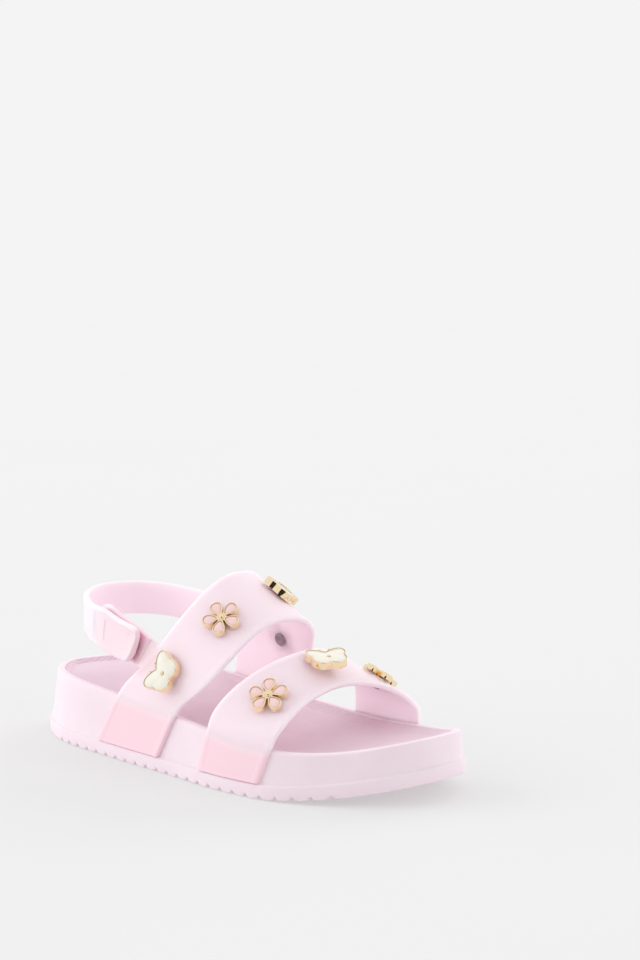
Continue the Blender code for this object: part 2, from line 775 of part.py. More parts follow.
def closure_section(row):
    """The closure strip's section, with rounded corners at its free end."""
    cut = end_inset(from_end(CLOSURE, row), TAB_CORNER)
    return [
        (0, cut, EDGE_ROUND - STRAP_THICKNESS),
        (0, cut + EDGE_ROUND, -STRAP_THICKNESS),
        (1, -cut - EDGE_ROUND, -STRAP_THICKNESS),
        (1, -cut, EDGE_ROUND - STRAP_THICKNESS),
        (1, -cut, -EDGE_ROUND),
        (1, -cut - EDGE_ROUND, 0),
        (0, cut + EDGE_ROUND, 0),
        (0, cut, -EDGE_ROUND),
    ]


def add_rear_upper():
    """The rear band, moulded in one with the heel strap and the closure strip at its back edge."""
    upper = add_band("rear_upper", REAR_RIBBON)
    corner = [TAB_CORNER * share for share in (0.04, 0.16, 0.4, 0.7, 1.0)]
    strap_rows = rows_to_end(STRAP, [*corner, TAB_BORDER, TAB_BORDER + TAB_STEP])
    strap_rows = sorted({*strap_rows, TAB_ROW + 0.01, TAB_ROW + 0.25})
    strap = ribbon_solid("heel_strap_form", STRAP, strap_rows, strap_section, jelly())
    closure_rows = rows_to_end(CLOSURE, corner)
    closure = ribbon_solid("closure_strip_form", CLOSURE, closure_rows, closure_section, jelly())
    for form in (strap, closure):
        add_boolean(upper, "UNION", make_guide(form))


def add_pads():
    """The hook-and-loop pads between the tab and the closure strip."""
    half = STRAP_WIDTH / 2 - PAD_MARGIN
    middle = -TAB_PATH[1][1] * STRAP_WIDTH
    low = CLEARANCE
    for name, start, end in PADS:
        first, last = start * CLOSURE_SPAN, end * CLOSURE_SPAN
        rows = [first, *range(math.ceil(first), math.ceil(last)), last]
        high = low + PAD_THICKNESS
        section = [
            (0.5, middle - half, low),
            (0.5, middle + half, low),
            (0.5, middle + half, high),
            (0.5, middle - half, high),
        ]
        ribbon_solid(name, CLOSURE, rows, lambda row: section, pad_fabric())
        low = high + CLEARANCE


def offset_outline(points, distance):
    """Moves a counter-clockwise outline outward, or inward where the distance is negative."""
    points = np.asarray(points, float)
    along = np.roll(points, -1, 0) - points
    along /= np.linalg.norm(along, axis=1)[:, None]
    after = np.stack([along[:, 1], -along[:, 0]], 1)
    before = np.roll(after, 1, 0)
    turn = np.maximum(1 + (before * after).sum(1), 0.6)
    return points + (before + after) * (distance / turn)[:, None]


def prism(name, layers, place, material):
    """Stacks outlines of equal count at given heights into one solid, at a place on a band."""
    bm = bmesh.new()
    rings = [add_ring(bm, [place((x, y, z)) for x, y in outline]) for outline, z in layers]
    for low, high in zip(rings, rings[1:]):
        bridge(bm, low, high)
    bm.faces.new(rings[0])
    bm.faces.new(rings[-1])
    return add_object(name, bm, material, 40)


def circle(radius, count, middle=(0.0, 0.0)):
    """A circle's outline."""
    turns = [2 * math.pi * k / count for k in range(count)]
    return [(middle[0] + radius * math.cos(a), middle[1] + radius * math.sin(a)) for a in turns]


def turned(points, angle):
    """Points turned about the middle."""
    c, s = math.cos(angle), math.sin(angle)
    return [(x * c - y * s, x * s + y * c) for x, y in points]


def petal_arc(inset):
    """The round end of the petal that points along +X, drawn in by an inset."""
    radius = PETAL_ROUND * FLOWER_SPAN - inset
    middle = (0.5 - PETAL_ROUND) * FLOWER_SPAN
    angles = [math.radians(a) for a in PETAL_ANGLES]
    return [(middle + radius * math.cos(a), radius * math.sin(a)) for a in angles]


def flower_outline():
    """The flower's outline: a valley and a petal's round end, five times round."""
    valley = FLOWER_VALLEY * FLOWER_SPAN
    half_turn = math.pi / PETALS
    petal = [(valley * math.cos(half_turn), -valley * math.sin(half_turn)), *petal_arc(0)]
    return [point for k in range(PETALS) for point in turned(petal, 2 * half_turn * k)]


def petal_outline(inset):
    """A petal's pocket: a teardrop with its tip toward the flower's middle."""
    return [(PETAL_TIP * FLOWER_SPAN + 2 * inset, 0.0), *petal_arc(inset)]


def butterfly_outline():
    """A butterfly's outline, counter-clockwise."""
    right = [(x * BUTTERFLY_SPAN, y * BUTTERFLY_SPAN) for x, y in WING]
    return [*right[::-1], *[(-x, y) for x, y in right[1:-1]]]


def band_place(ribbon, turn, share, degrees, lean, tip, reach, inner):
    """A flat place on a band, as a function from its own coordinates: side, up and out of the face.

    It lies CLEARANCE off the highest point of the face within reach, or off its inner face's lowest.
    """
    row = turn_row(turn)
    middle = ribbon.point(row, share)
    along = ribbon.point(row + 0.5, share) - ribbon.point(row - 0.5, share)
    across = ribbon.point(row, share, 0.001) - ribbon.point(row, share, -0.001)
    out = np.cross(along, across)
    out /= np.linalg.norm(out)
    if (ribbon.point(row, share, 0, 0.001) - middle) @ out < 0:
        out = -out
    up = -across / np.linalg.norm(across)
    along /= np.linalg.norm(along)
    out = out + math.tan(math.radians(lean)) * up + math.tan(math.radians(tip)) * along
    out /= np.linalg.norm(out)
    up -= (up @ out) * out
    up /= np.linalg.norm(up)
    side = np.cross(up, out)
    angle = math.radians(degrees)
    side, up = side * math.cos(angle) + up * math.sin(angle), up * math.cos(angle) - side * math.sin(angle)

    heights = []
    width = np.linalg.norm(ribbon.point(row, 1) - ribbon.point(row, 0))
    for near_row in np.arange(row - 3, row + 3, 0.25):
        for near_share in np.linspace(0, 1, 21):
            in_panel = min(near_share, 1 - near_share) * width > BEAD_WIDTH + BEAD_STEP
            level = -BAND_THICKNESS if inner else -BEAD_STEP if in_panel else 0.0
            reached = ribbon.point(near_row, near_share, 0, level) - middle
            if np.hypot(reached @ side, reached @ up) < reach:
                heights.append(reached @ out)
    seat = middle + out * (min(heights) - CLEARANCE if inner else max(heights) + CLEARANCE)
    return lambda point: seat + side * point[0] + up * point[1] + out * point[2]


def cut_pocket(body, outline, top, place):
    """Cuts one enamel pocket into an ornament's face, which is at top."""
    layers = [(outline, top - POCKET_DEPTH), (outline, top + POCKET_DEPTH)]
    form = prism(f"{body.name}_pocket", layers, place, gilt())
    add_boolean(body, "DIFFERENCE", make_guide(form))


def enamel_layers(outline, top):
    """An enamel filling, which stands off its pocket's floor and a little below the rim at top."""
    floor = top - POCKET_DEPTH + ENAMEL_GAP
    return [(outline, floor), (outline, floor + ENAMEL_THICKNESS)]


def add_flower(name, place):
    """A five-petalled flower: a gilt body with a dome in the middle and enamel in each petal."""
    outline = flower_outline()
    eased = offset_outline(outline, -ORNAMENT_ROUND)
    top = FLOWER_THICKNESS
    body = prism(name, [(outline, 0), (outline, top - ORNAMENT_ROUND), (eased, top)], place, gilt())
    for k in range(PETALS):
        angle = 2 * math.pi * k / PETALS
        cut_pocket(body, turned(petal_outline(ORNAMENT_RIM), angle), top, place)
        filling = turned(petal_outline(ORNAMENT_RIM + ENAMEL_GAP), angle)
        prism(f"{name}_petal_{k + 1}", enamel_layers(filling, top), place, enamel(pink=True))
    heart = FLOWER_HEART * FLOWER_SPAN
    dome = [(circle(heart, HEART_SIDES), top / 2), (circle(heart, HEART_SIDES), top + 0.2 * heart),
            (circle(0.6 * heart, HEART_SIDES), top + 0.6 * heart)]
    add_boolean(body, "UNION", make_guide(prism(f"{name}_heart", dome, place, gilt())))


def add_butterfly(name, place):
    """A butterfly: a gilt body with a stud in the middle and one enamel filling round it."""
    outline = butterfly_outline()
    top = BUTTERFLY_THICKNESS
    eased = offset_outline(outline, -ORNAMENT_ROUND)
    body = prism(name, [(outline, 0), (outline, top - ORNAMENT_ROUND), (eased, top)], place, gilt())
    cut_pocket(body, offset_outline(outline, -ORNAMENT_RIM), top, place)
    stud = [(circle(STUD_RADIUS, HEART_SIDES), top / 2), (circle(STUD_RADIUS, HEART_SIDES), top)]
    add_boolean(body, "UNION", make_guide(prism(f"{name}_stud", stud, place, gilt())))
    filling = offset_outline(outline, -ORNAMENT_RIM - ENAMEL_GAP)
    face = prism(f"{name}_enamel", enamel_layers(filling, top), place, enamel(pink=False))
    hole = circle(STUD_RADIUS + ENAMEL_GAP, HEART_SIDES)
    form = prism(f"{name}_stud_hole", [(hole, top / 2), (hole, 2 * top)], place, gilt())
    add_boolean(face, "DIFFERENCE", make_guide(form))


def add_ornaments():
    """The ornaments in the order of their table, each with its rivet inside the band."""
    ribbons = {"rear": REAR_RIBBON, "front": FRONT_RIBBON}
    for name, band, turn, share, degrees, lean, tip in ORNAMENTS:
        flower = "flower" in name
        reach = (FLOWER_SPAN if flower else BUTTERFLY_SPAN) / 2
        place = band_place(ribbons[band], turn, share, degrees, lean, tip, reach, inner=False)
        if flower:
            add_flower(name, place)
        else:
            add_butterfly(name, place)
        place = band_place(ribbons[band], turn, share, degrees, 0, 0, RIVET_RADIUS, inner=True)
        disc = circle(RIVET_RADIUS, RIVET_SIDES)
        prism(f"{name}_rivet", [(disc, -RIVET_THICKNESS), (disc, 0)], place, rivet_metal())


def main():
    for obj in list(bpy.data.objects):
        bpy.data.objects.remove(obj, do_unlink=True)
    add_outsole()
    footbed = add_footbed()
    add_insole()
    add_rear_upper()
    add_band("front_band", FRONT_RIBBON)
    add_seats(footbed, "rear_band", REAR_RIBBON)
    add_seats(footbed, "front_band", FRONT_RIBBON)
    add_pads()
    add_ornaments()


main()
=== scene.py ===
"""Dresses a child's two-band jelly sandal and stands it in a plain pale studio.

Metres, +Z up. The heel is at -X, the toe at +X and the inner (big toe) side at +Y. Tables hold shares of the
named sizes that they follow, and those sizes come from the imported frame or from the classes' own fields.
"""
from __future__ import annotations

import logging
import math
from collections.abc import Callable, Sequence
from dataclasses import dataclass, field, replace
from enum import Enum

import bmesh
import bpy
import numpy as np
from mathutils import Matrix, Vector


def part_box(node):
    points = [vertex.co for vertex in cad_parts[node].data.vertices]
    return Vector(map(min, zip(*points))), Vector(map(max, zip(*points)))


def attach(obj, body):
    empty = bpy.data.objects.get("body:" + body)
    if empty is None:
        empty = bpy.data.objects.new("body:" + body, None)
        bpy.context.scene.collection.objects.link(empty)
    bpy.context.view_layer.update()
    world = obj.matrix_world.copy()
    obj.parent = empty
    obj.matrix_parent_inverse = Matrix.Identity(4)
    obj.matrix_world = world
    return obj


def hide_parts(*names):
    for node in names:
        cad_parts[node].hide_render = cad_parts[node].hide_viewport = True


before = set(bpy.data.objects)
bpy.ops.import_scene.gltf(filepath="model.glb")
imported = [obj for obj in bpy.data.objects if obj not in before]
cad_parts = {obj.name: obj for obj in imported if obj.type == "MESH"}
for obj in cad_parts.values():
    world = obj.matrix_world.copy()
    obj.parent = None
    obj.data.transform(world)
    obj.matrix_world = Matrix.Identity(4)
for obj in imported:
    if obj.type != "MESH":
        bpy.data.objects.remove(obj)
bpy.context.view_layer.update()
LOG = logging.getLogger("jelly_sandal")

MM = 0.001
BODY = "root"

BACKED = "backed"
FADED_END = "faded_end"

Place = Callable[[Sequence[float]], np.ndarray]


# Tables of the sandal's lines

OUTLINE = (
    # share of the length from the heel, shares of the ball width: outer side, inner side
    (0.000, 0.000, 0.000),
    (0.050, -0.215, 0.310),
    (0.160, -0.382, 0.440),
    (0.350, -0.445, 0.455),
    (0.510, -0.470, 0.425),
    (0.660, -0.498, 0.455),
    (0.790, -0.455, 0.500),
    (0.905, -0.285, 0.462),
    (0.980, -0.075, 0.330),
    (1.000, 0.117, 0.117),
)
SIDE_LINES = (
    # share of the length, rim's height, cup's depth
    (0.00, 0.95, 0.90),
    (0.15, 1.00, 1.00),
    (0.30, 0.955, 0.90),
    (0.45, 0.88, 0.62),
    (0.60, 0.80, 0.50),
    (0.75, 0.69, 0.44),
    (0.88, 0.74, 0.48),
    (1.00, 0.95, 0.50),
)
CUP_SLOPE = (
    # share of the way to the middle line, share of the cup's depth
    (0.00, 0.00),
    (0.03, 0.07),
    (0.10, 0.30),
    (0.24, 0.62),
    (0.45, 0.86),
    (0.72, 0.98),
)
FOOT_FILLET = (
    # where the footbed's wall runs into the lip, in millimetres: above the lip, out of the wall
    (-0.15, 0.40),
    (0.02, 0.32),
    (0.15, 0.15),
    (0.35, 0.05),
    (0.60, 0.00),
)
GROOVE = (
    # phase of the tread's pitch, share of the groove's depth
    (-0.40, 0.0),
    (-0.34, 0.0),
    (-0.28, 0.05),
    (-0.22, 0.14),
    (-0.15, 0.30),
    (-0.10, 0.62),
    (-0.05, 0.92),
    (0.00, 1.0),
    (0.05, 0.92),
    (0.10, 0.62),
    (0.15, 0.30),
    (0.22, 0.14),
    (0.28, 0.05),
    (0.34, 0.0),
    (0.40, 0.0),
)
REAR_EDGES = (
    # degrees round the arch from the outer leg, shares of the length: back edge, front edge
    (0, 0.357, 0.530),
    (20, 0.430, 0.592),
    (40, 0.475, 0.624),
    (60, 0.501, 0.636),
    (90, 0.515, 0.638),
    (120, 0.485, 0.622),
    (140, 0.434, 0.598),
    (160, 0.380, 0.567),
    (180, 0.343, 0.536),
)
FRONT_EDGES = (
    (0, 0.624, 0.780),
    (20, 0.641, 0.788),
    (40, 0.662, 0.790),
    (60, 0.685, 0.789),
    (90, 0.708, 0.787),
    (120, 0.705, 0.795),
    (140, 0.692, 0.803),
    (160, 0.677, 0.812),
    (180, 0.671, 0.821),
)
CLOSURE_PATH = (
    # share of the length, of the ball width, of the rear crest's height, of the strap's width
    (0.372, -0.372, 0.606, 0.94),
    (0.315, -0.340, 0.636, 0.94),
    (0.262, -0.305, 0.668, 0.94),
    (0.236, -0.284, 0.680, 0.90),
)
STRAP_PATH = (
    (0.275, 0.378, 0.668, 0.84),
    (0.170, 0.330, 0.688, 0.84),
    (0.110, 0.205, 0.694, 0.86),
    (0.090, 0.040, 0.688, 0.88),
    (0.118, -0.130, 0.672, 0.90),
    (0.190, -0.268, 0.655, 0.92),
)
TAB_PATH = (
    # row of the closure's path, share of the strap's width below its middle, share of the width
    (3.60, 0.00, 1.00),
    (2.65, -0.04, 0.99),
    (2.08, -0.08, 0.96),
    (1.52, -0.11, 0.92),
)
WING = (
    # half of a butterfly, from its notch round the wing: shares of its span to the side and upward
    (0.00, 0.25),
    (0.07, 0.30),
    (0.18, 0.36),
    (0.33, 0.40),
    (0.44, 0.37),
    (0.49, 0.27),
    (0.47, 0.14),
    (0.42, 0.05),
    (0.43, -0.04),
    (0.40, -0.16),
    (0.32, -0.27),
    (0.20, -0.33),
    (0.08, -0.31),
    (0.00, -0.27),
)
PETAL = (
    # half of a flower's petal, from beside the heart to its tip: shares of the span outward and aside
    (0.135, 0.070),
    (0.185, 0.105),
    (0.245, 0.140),
    (0.310, 0.162),
    (0.375, 0.165),
    (0.435, 0.145),
    (0.480, 0.095),
    (0.498, 0.045),
)


class Side(Enum):
    """The two sides of the foot, with the column of the outline's table that holds each."""

    OUTER = 1
    INNER = 2


class Charm(Enum):
    """The two kinds of ornament."""

    FLOWER = "flower"
    BUTTERFLY = "butterfly"


# Curves and meshes


def smooth_table(at: np.ndarray | float, places: Sequence[float], values: Sequence[float]) -> np.ndarray:
    """Reads a table on a smooth curve that doesn't overshoot its rows.

    Args:
        at: The places to read.
        places: The rows' places, rising.
        values: The rows' values.

    Returns:
        The values at the places that were asked for.
    """
    places, values = np.asarray(places, float), np.asarray(values, float)
    at = np.clip(np.asarray(at, float), places[0], places[-1])
    k = np.clip(np.searchsorted(places, at, side="right") - 1, 0, len(places) - 2)
    steps = np.diff(places)
    slopes = np.diff(values) / steps
    tangents = np.concatenate([[slopes[0]], (slopes[1:] + slopes[:-1]) / 2, [slopes[-1]]])
    tangents[1:-1][slopes[1:] * slopes[:-1] <= 0] = 0
    t = (at - places[k]) / steps[k]
    return (
        values[k] * (2 * t**3 - 3 * t**2 + 1)
        + values[k + 1] * (3 * t**2 - 2 * t**3)
        + tangents[k] * steps[k] * (t**3 - 2 * t**2 + t)
        + tangents[k + 1] * steps[k] * (t**3 - t**2)
    )


def curve_through(points: Sequence[np.ndarray], per_span: int, closed: bool = False) -> np.ndarray:
    """Lays a centripetal curve through points.

    Args:
        points: The points, in two or three dimensions.
        per_span: How many points the curve gets for each span.
        closed: Whether the curve runs back to its start.

    Returns:
        The curve's points.
    """
    points = [np.asarray(p, float) for p in points]
    if closed:
        points = [points[-1], *points, points[0], points[1]]
    else:
        points = [2 * points[0] - points[1], *points, 2 * points[-1] - points[-2]]
    out = []
    for a, b, c, d in zip(points, points[1:], points[2:], points[3:]):
        ab, bc, cd = (max(float(np.linalg.norm(q - p)), 1e-9) ** 0.5 for p, q in ((a, b), (b, c), (c, d)))
        leave = (c - b) + bc * ((b - a) / ab - (c - a) / (ab + bc))
        arrive = (c - b) + bc * ((d - c) / cd - (d - b) / (bc + cd))
        for t in np.arange(per_span) / per_span:
            out.append(
                (2 * t**3 - 3 * t**2 + 1) * b
                + (t**3 - 2 * t**2 + t) * leave
                + (3 * t**2 - 2 * t**3) * c
                + (t**3 - t**2) * arrive
            )
    if not closed:
        out.append(points[-2])
    return np.array(out)


def eased(points: np.ndarray, passes: int) -> np.ndarray:
    """Softens the bends of an open line and keeps its ends."""
    points = points.copy()
    for _ in range(passes):
        points[1:-1] = points[1:-1] / 2 + (points[:-2] + points[2:]) / 4
    return points


def offset_outline(points: np.ndarray, distance: float) -> np.ndarray:
    """Moves a counter-clockwise outline outward, or inward where the distance is negative.

    Args:
        points: The outline.
        distance: How far it moves.

    Returns:
        The moved outline, with as many points.
    """
    along = np.roll(points, -1, 0) - points
    along /= np.linalg.norm(along, axis=1)[:, None]
    after = np.stack([along[:, 1], -along[:, 0]], 1)
    before = np.roll(after, 1, 0)
    turn = np.maximum(1 + (before * after).sum(1), 0.6)
    return points + (before + after) * (distance / turn)[:, None]


def turned(points: np.ndarray, angle: float) -> np.ndarray:
    """Turns flat points about the middle."""
    c, s = math.cos(angle), math.sin(angle)
    return points @ np.array([[c, s], [-s, c]])


def circle(radius: float, count: int) -> np.ndarray:
    """Gives a circle's outline, counter-clockwise."""
    turns = np.arange(count) * 2 * math.pi / count
    return radius * np.stack([np.cos(turns), np.sin(turns)], 1)


def mesh_object(
    name: str, points: np.ndarray, faces: Sequence[Sequence[int]], sharp: float = 40
) -> bpy.types.Object:
    """Makes a smooth object with its faces pointing out.

    Args:
        name: The object's name.
        points: Its vertices.
        faces: Its faces, as rows of vertex numbers.
        sharp: The angle in degrees over which an edge stays sharp.

    Returns:
        The object, in the scene.
    """
    mesh = bpy.data.meshes.new(name)
    mesh.from_pydata([tuple(p) for p in points], [], [tuple(f) for f in faces])
    bm = bmesh.new()
    bm.from_mesh(mesh)
    bmesh.ops.recalc_face_normals(bm, faces=bm.faces)
    bm.to_mesh(mesh)
    bm.free()
    mesh.shade_smooth()
    mesh.set_sharp_from_angle(angle=math.radians(sharp))
    obj = bpy.data.objects.new(name, mesh)
    bpy.context.scene.collection.objects.link(obj)
    return obj


def ring_faces(rings: int, count: int) -> list[tuple[int, ...]]:
    """Gives the quads that join rings of equal count, one after the other."""
    return [
        (r * count + k, r * count + (k + 1) % count, (r + 1) * count + (k + 1) % count, (r + 1) * count + k)
        for r in range(rings - 1)
        for k in range(count)
    ]


def across_faces(start: int, count: int) -> list[tuple[int, ...]]:
    """Closes a ring of matched sides with faces that run straight across.

    Args:
        start: The ring's first vertex, at the heel.
        count: How many vertices the ring has.

    Returns:
        The faces.
    """
    faces = []
    for k in range(count // 2):
        corners = (k, k + 1, count - k - 1, (count - k) % count)
        faces.append(tuple(start + c for c in dict.fromkeys(corners)))
    return faces


def lofted(name: str, rings: np.ndarray, sharp: float = 40) -> bpy.types.Object:
    """Joins rings into a tube with closed ends.

    Args:
        name: The object's name.
        rings: The rings' points, as rings by points by three.
        sharp: The angle in degrees over which an edge stays sharp.

    Returns:
        The object.
    """
    count = rings.shape[1]
    last = (len(rings) - 1) * count
    faces = ring_faces(len(rings), count)
    faces += [tuple(range(count)), tuple(range(last, last + count))]
    return mesh_object(name, rings.reshape(-1, 3), faces, sharp)


def combined(
    base: bpy.types.Object, forms: Sequence[tuple[str, bpy.types.Object]], sharp: float
) -> bpy.types.Object:
    """Adds or cuts forms and keeps the result as a plain mesh.

    Args:
        base: The object that is changed.
        forms: Pairs of an operation, UNION or DIFFERENCE, and a form, which is used up.
        sharp: The angle in degrees over which an edge stays sharp.

    Returns:
        The changed object.
    """
    for operation, form in forms:
        modifier = base.modifiers.new(form.name, "BOOLEAN")
        modifier.operation = operation
        modifier.solver = "EXACT"
        modifier.object = form
    graph = bpy.context.evaluated_depsgraph_get()
    mesh = bpy.data.meshes.new_from_object(base.evaluated_get(graph))
    base.modifiers.clear()
    base.data = mesh
    mesh.shade_smooth()
    mesh.set_sharp_from_angle(angle=math.radians(sharp))
    for _, form in forms:
        bpy.data.objects.remove(form)
    return base


# Finishes


def linear(hex_colour: str) -> tuple[float, float, float, float]:
    """Turns an sRGB hex colour into Blender's linear one.

    Args:
        hex_colour: Six hex digits after a hash sign.

    Returns:
        Red, green, blue and full alpha.
    """
    parts = [int(hex_colour[k : k + 2], 16) / 255 for k in (1, 3, 5)]
    red, green, blue = (c / 12.92 if c <= 0.04045 else ((c + 0.055) / 1.055) ** 2.4 for c in parts)
    return red, green, blue, 1.0


def plug(tree: bpy.types.NodeTree, node: bpy.types.Node, inputs: dict[str | int, object]) -> None:
    """Links sockets to a node and sets its plain values.

    Args:
        tree: The material's node tree.
        node: The node.
        inputs: A value or another node's socket for each input.
    """
    for name, value in inputs.items():
        if isinstance(value, bpy.types.NodeSocket):
            tree.links.new(value, node.inputs[name])
        else:
            node.inputs[name].default_value = value


def add_node(
    tree: bpy.types.NodeTree,
    kind: str,
    inputs: dict[str | int, object] | None = None,
    **settings: object,
) -> bpy.types.Node:
    """Adds a node with its settings, values and links.

    Args:
        tree: The material's node tree.
        kind: The node's type.
        inputs: A value or another node's socket for each named input.
        **settings: The node's own properties.

    Returns:
        The node.
    """
    node = tree.nodes.new(kind)
    for name, value in settings.items():
        setattr(node, name, value)
    plug(tree, node, inputs or {})
    return node


def blank_material(name: str) -> tuple[bpy.types.Material, bpy.types.NodeTree, bpy.types.Node]:
    """Makes a material with nothing but its shader.

    Args:
        name: The material's name.

    Returns:
        The material, its node tree and its Principled shader.
    """
    material = bpy.data.materials.new(name)
    material.use_nodes = True
    return material, material.node_tree, material.node_tree.nodes["Principled BSDF"]


def clouded_colour(
    tree: bpy.types.NodeTree, size: float, first: str, second: str, detail: float = 2.0, stir: float = 0.0
) -> bpy.types.NodeSocket:
    """Lays two colours through the object as clouds that run into each other.

    Args:
        tree: The material's node tree.
        size: How large a cloud is.
        first: The first colour, in hex.
        second: The second colour, in hex.
        detail: How many finer layers the clouds have.
        stir: How far they are stirred.

    Returns:
        The colour's socket.
    """
    place = add_node(tree, "ShaderNodeTexCoord").outputs["Object"]
    noise = {"Vector": place, "Scale": 1 / size, "Detail": detail, "Distortion": stir}
    share = add_node(tree, "ShaderNodeTexNoise", noise).outputs["Fac"]
    tones = {"Factor": share, "A": linear(first), "B": linear(second)}
    return add_node(tree, "ShaderNodeMix", tones, data_type="RGBA").outputs["Result"]


def rough_skin(
    tree: bpy.types.NodeTree, size: float, detail: float, strength: float, depth: float
) -> bpy.types.NodeSocket:
    """Roughens the surface with bumps of one size.

    Args:
        tree: The material's node tree.
        size: How large a bump is.
        detail: How many finer layers the bumps have.
        strength: The bumps' strength.
        depth: How deep they are.

    Returns:
        The bent normal's socket.
    """
    place = add_node(tree, "ShaderNodeTexCoord").outputs["Object"]
    noise = {"Vector": place, "Scale": 1 / size, "Detail": detail}
    height = add_node(tree, "ShaderNodeTexNoise", noise).outputs["Fac"]
    bumps = {"Height": height, "Strength": strength, "Distance": depth}
    return add_node(tree, "ShaderNodeBump", bumps).outputs["Normal"]


@dataclass(frozen=True)
class MouldedFoam:
    """Moulded EVA foam, as it comes from a polished mould: matt, faintly mottled, with a soft skin sheen."""

    colour: str = "#F8E8EF"
    shade: str = "#F3E0E9"
    roughness: float = 0.5
    mottle: float = 9 * MM
    grain: float = 0.35 * MM
    glow: float = 2 * MM
    glow_weight: float = 0.2

    def build(self) -> bpy.types.Material:
        """Makes the material: two close pinks drift over a wall whose skin is too fine to see as bumps."""
        material, tree, shader = blank_material("moulded_eva_foam")
        inputs = {
            "Base Color": clouded_colour(tree, self.mottle, self.colour, self.shade),
            "Normal": rough_skin(tree, self.grain, 1.0, 0.12, 0.05 * MM),
            "Roughness": self.roughness,
            "Subsurface Weight": self.glow_weight,
            "Subsurface Radius": (1.0, 0.7, 0.8),
            "Subsurface Scale": self.glow,
        }
        plug(tree, shader, inputs)
        return material


@dataclass(frozen=True)
class RibbedInsoleFoam:
    """Heat-pressed EVA foam with fine ribs across the foot, which catch the light as faint lines."""

    colour: str = "#F4E2EA"
    # the darker tone: painted shade in the rib valleys, and random mottle where the drift is low
    shade: str = "#E6CBD8"
    roughness: float = 0.6
    rib_pitch: float = 1.1 * MM
    mottle: float = 14 * MM

    def build(self) -> bpy.types.Material:
        """Makes the material: a rib wave along the foot, drawn as bumps and as painted shade in its valleys.
        """
        material, tree, shader = blank_material("pressed_rib_foam")
        place = add_node(tree, "ShaderNodeTexCoord").outputs["Object"]
        wave = {"Vector": place, "Scale": math.pi / (10 * self.rib_pitch), "Distortion": 0.0}
        bands = add_node(tree, "ShaderNodeTexWave", wave, wave_type="BANDS", bands_direction="X")
        ribs = bands.outputs["Fac"]
        noise = {"Vector": place, "Scale": 1 / self.mottle, "Detail": 2.0}
        drift = add_node(tree, "ShaderNodeTexNoise", noise).outputs["Fac"]
        # the rib valleys get painted shade, mixed with a random drift
        share = add_node(tree, "ShaderNodeMath", {0: ribs, 1: drift}, operation="MULTIPLY").outputs[0]
        tones = {"Factor": share, "A": linear(self.shade), "B": linear(self.colour)}
        bumps = {"Height": ribs, "Strength": 0.8, "Distance": 0.2 * MM}
        inputs = {
            "Base Color": add_node(tree, "ShaderNodeMix", tones, data_type="RGBA").outputs["Result"],
            "Normal": add_node(tree, "ShaderNodeBump", bumps).outputs["Normal"],
            "Roughness": self.roughness,
        }
        plug(tree, shader, inputs)
        return material


@dataclass(frozen=True)
class JellyPvc:
    """Injection-moulded soft PVC: milky, so that light glows through it, with a satin skin from its mould.

    Where the bands' legs lie on the foam there is nothing bright behind them, so their deeper pink is painted
    shade.
    """

    colour: str = "#F9DFE7"
    # painted shade: the deeper pink of the legs, where no light comes through from behind
    backed_shade_colour: str = "#FBD8E3"
    glow: float = 5 * MM
    roughness: float = 0.3
    wave: float = 11 * MM

    def build(self) -> bpy.types.Material:
        """Makes the material: light that scatters through the wall, and a faintly wavy skin."""
        material, tree, shader = blank_material("jelly_pvc")
        backed = add_node(tree, "ShaderNodeAttribute", attribute_name=BACKED).outputs["Fac"]
        # where the legs lie on the foam, the colour turns to the painted shade
        deep = {"Value": backed, "From Min": 0.45, "From Max": 0.75}
        milk = {"Value": backed, "From Max": 0.2, "To Min": 1.0, "To Max": 0.0}
        share = add_node(tree, "ShaderNodeMapRange", deep).outputs["Result"]
        tones = {"Factor": share, "A": linear(self.colour), "B": linear(self.backed_shade_colour)}
        inputs = {
            "Base Color": add_node(tree, "ShaderNodeMix", tones, data_type="RGBA").outputs["Result"],
            "Subsurface Weight": add_node(tree, "ShaderNodeMapRange", milk).outputs["Result"],
            "Subsurface Radius": (1.0, 0.9, 0.94),
            "Subsurface Scale": self.glow,
            "Normal": rough_skin(tree, self.wave, 2.0, 0.25, 0.3 * MM),
            "Roughness": self.roughness,
            "IOR": 1.5,
        }
        plug(tree, shader, inputs)
        return material


@dataclass(frozen=True)
class LoopFabric:
    """Woven nylon loop tape, dyed rose pink: dull, with a fuzzy sheen."""

    name: str = "woven_loop_tape"
    colour: str = "#FBB4D4"
    shade: str = "#F3A6C8"
    # the pale pink that the pad's colour fades to over its first rows
    faded_end_colour: str = "#F9DCE6"
    pile: float = 0.5 * MM

    def build(self) -> bpy.types.Material:
        """Makes the material: a tangle of loops in two close pinks, with bumps at the pile's own scale."""
        material, tree, shader = blank_material(self.name)
        pile = clouded_colour(tree, self.pile, self.shade, self.colour, detail=3.0)
        # the pad's colour turns pale where this mark is high
        end_fade = add_node(tree, "ShaderNodeAttribute", attribute_name=FADED_END).outputs["Fac"]
        tones = {"Factor": end_fade, "A": pile, "B": linear(self.faded_end_colour)}
        inputs = {
            "Base Color": add_node(tree, "ShaderNodeMix", tones, data_type="RGBA").outputs["Result"],
            "Normal": rough_skin(tree, self.pile, 3.0, 0.8, 0.2 * MM),
            "Roughness": 0.9,
            "Sheen Weight": 0.5,
        }
        plug(tree, shader, inputs)
        return material


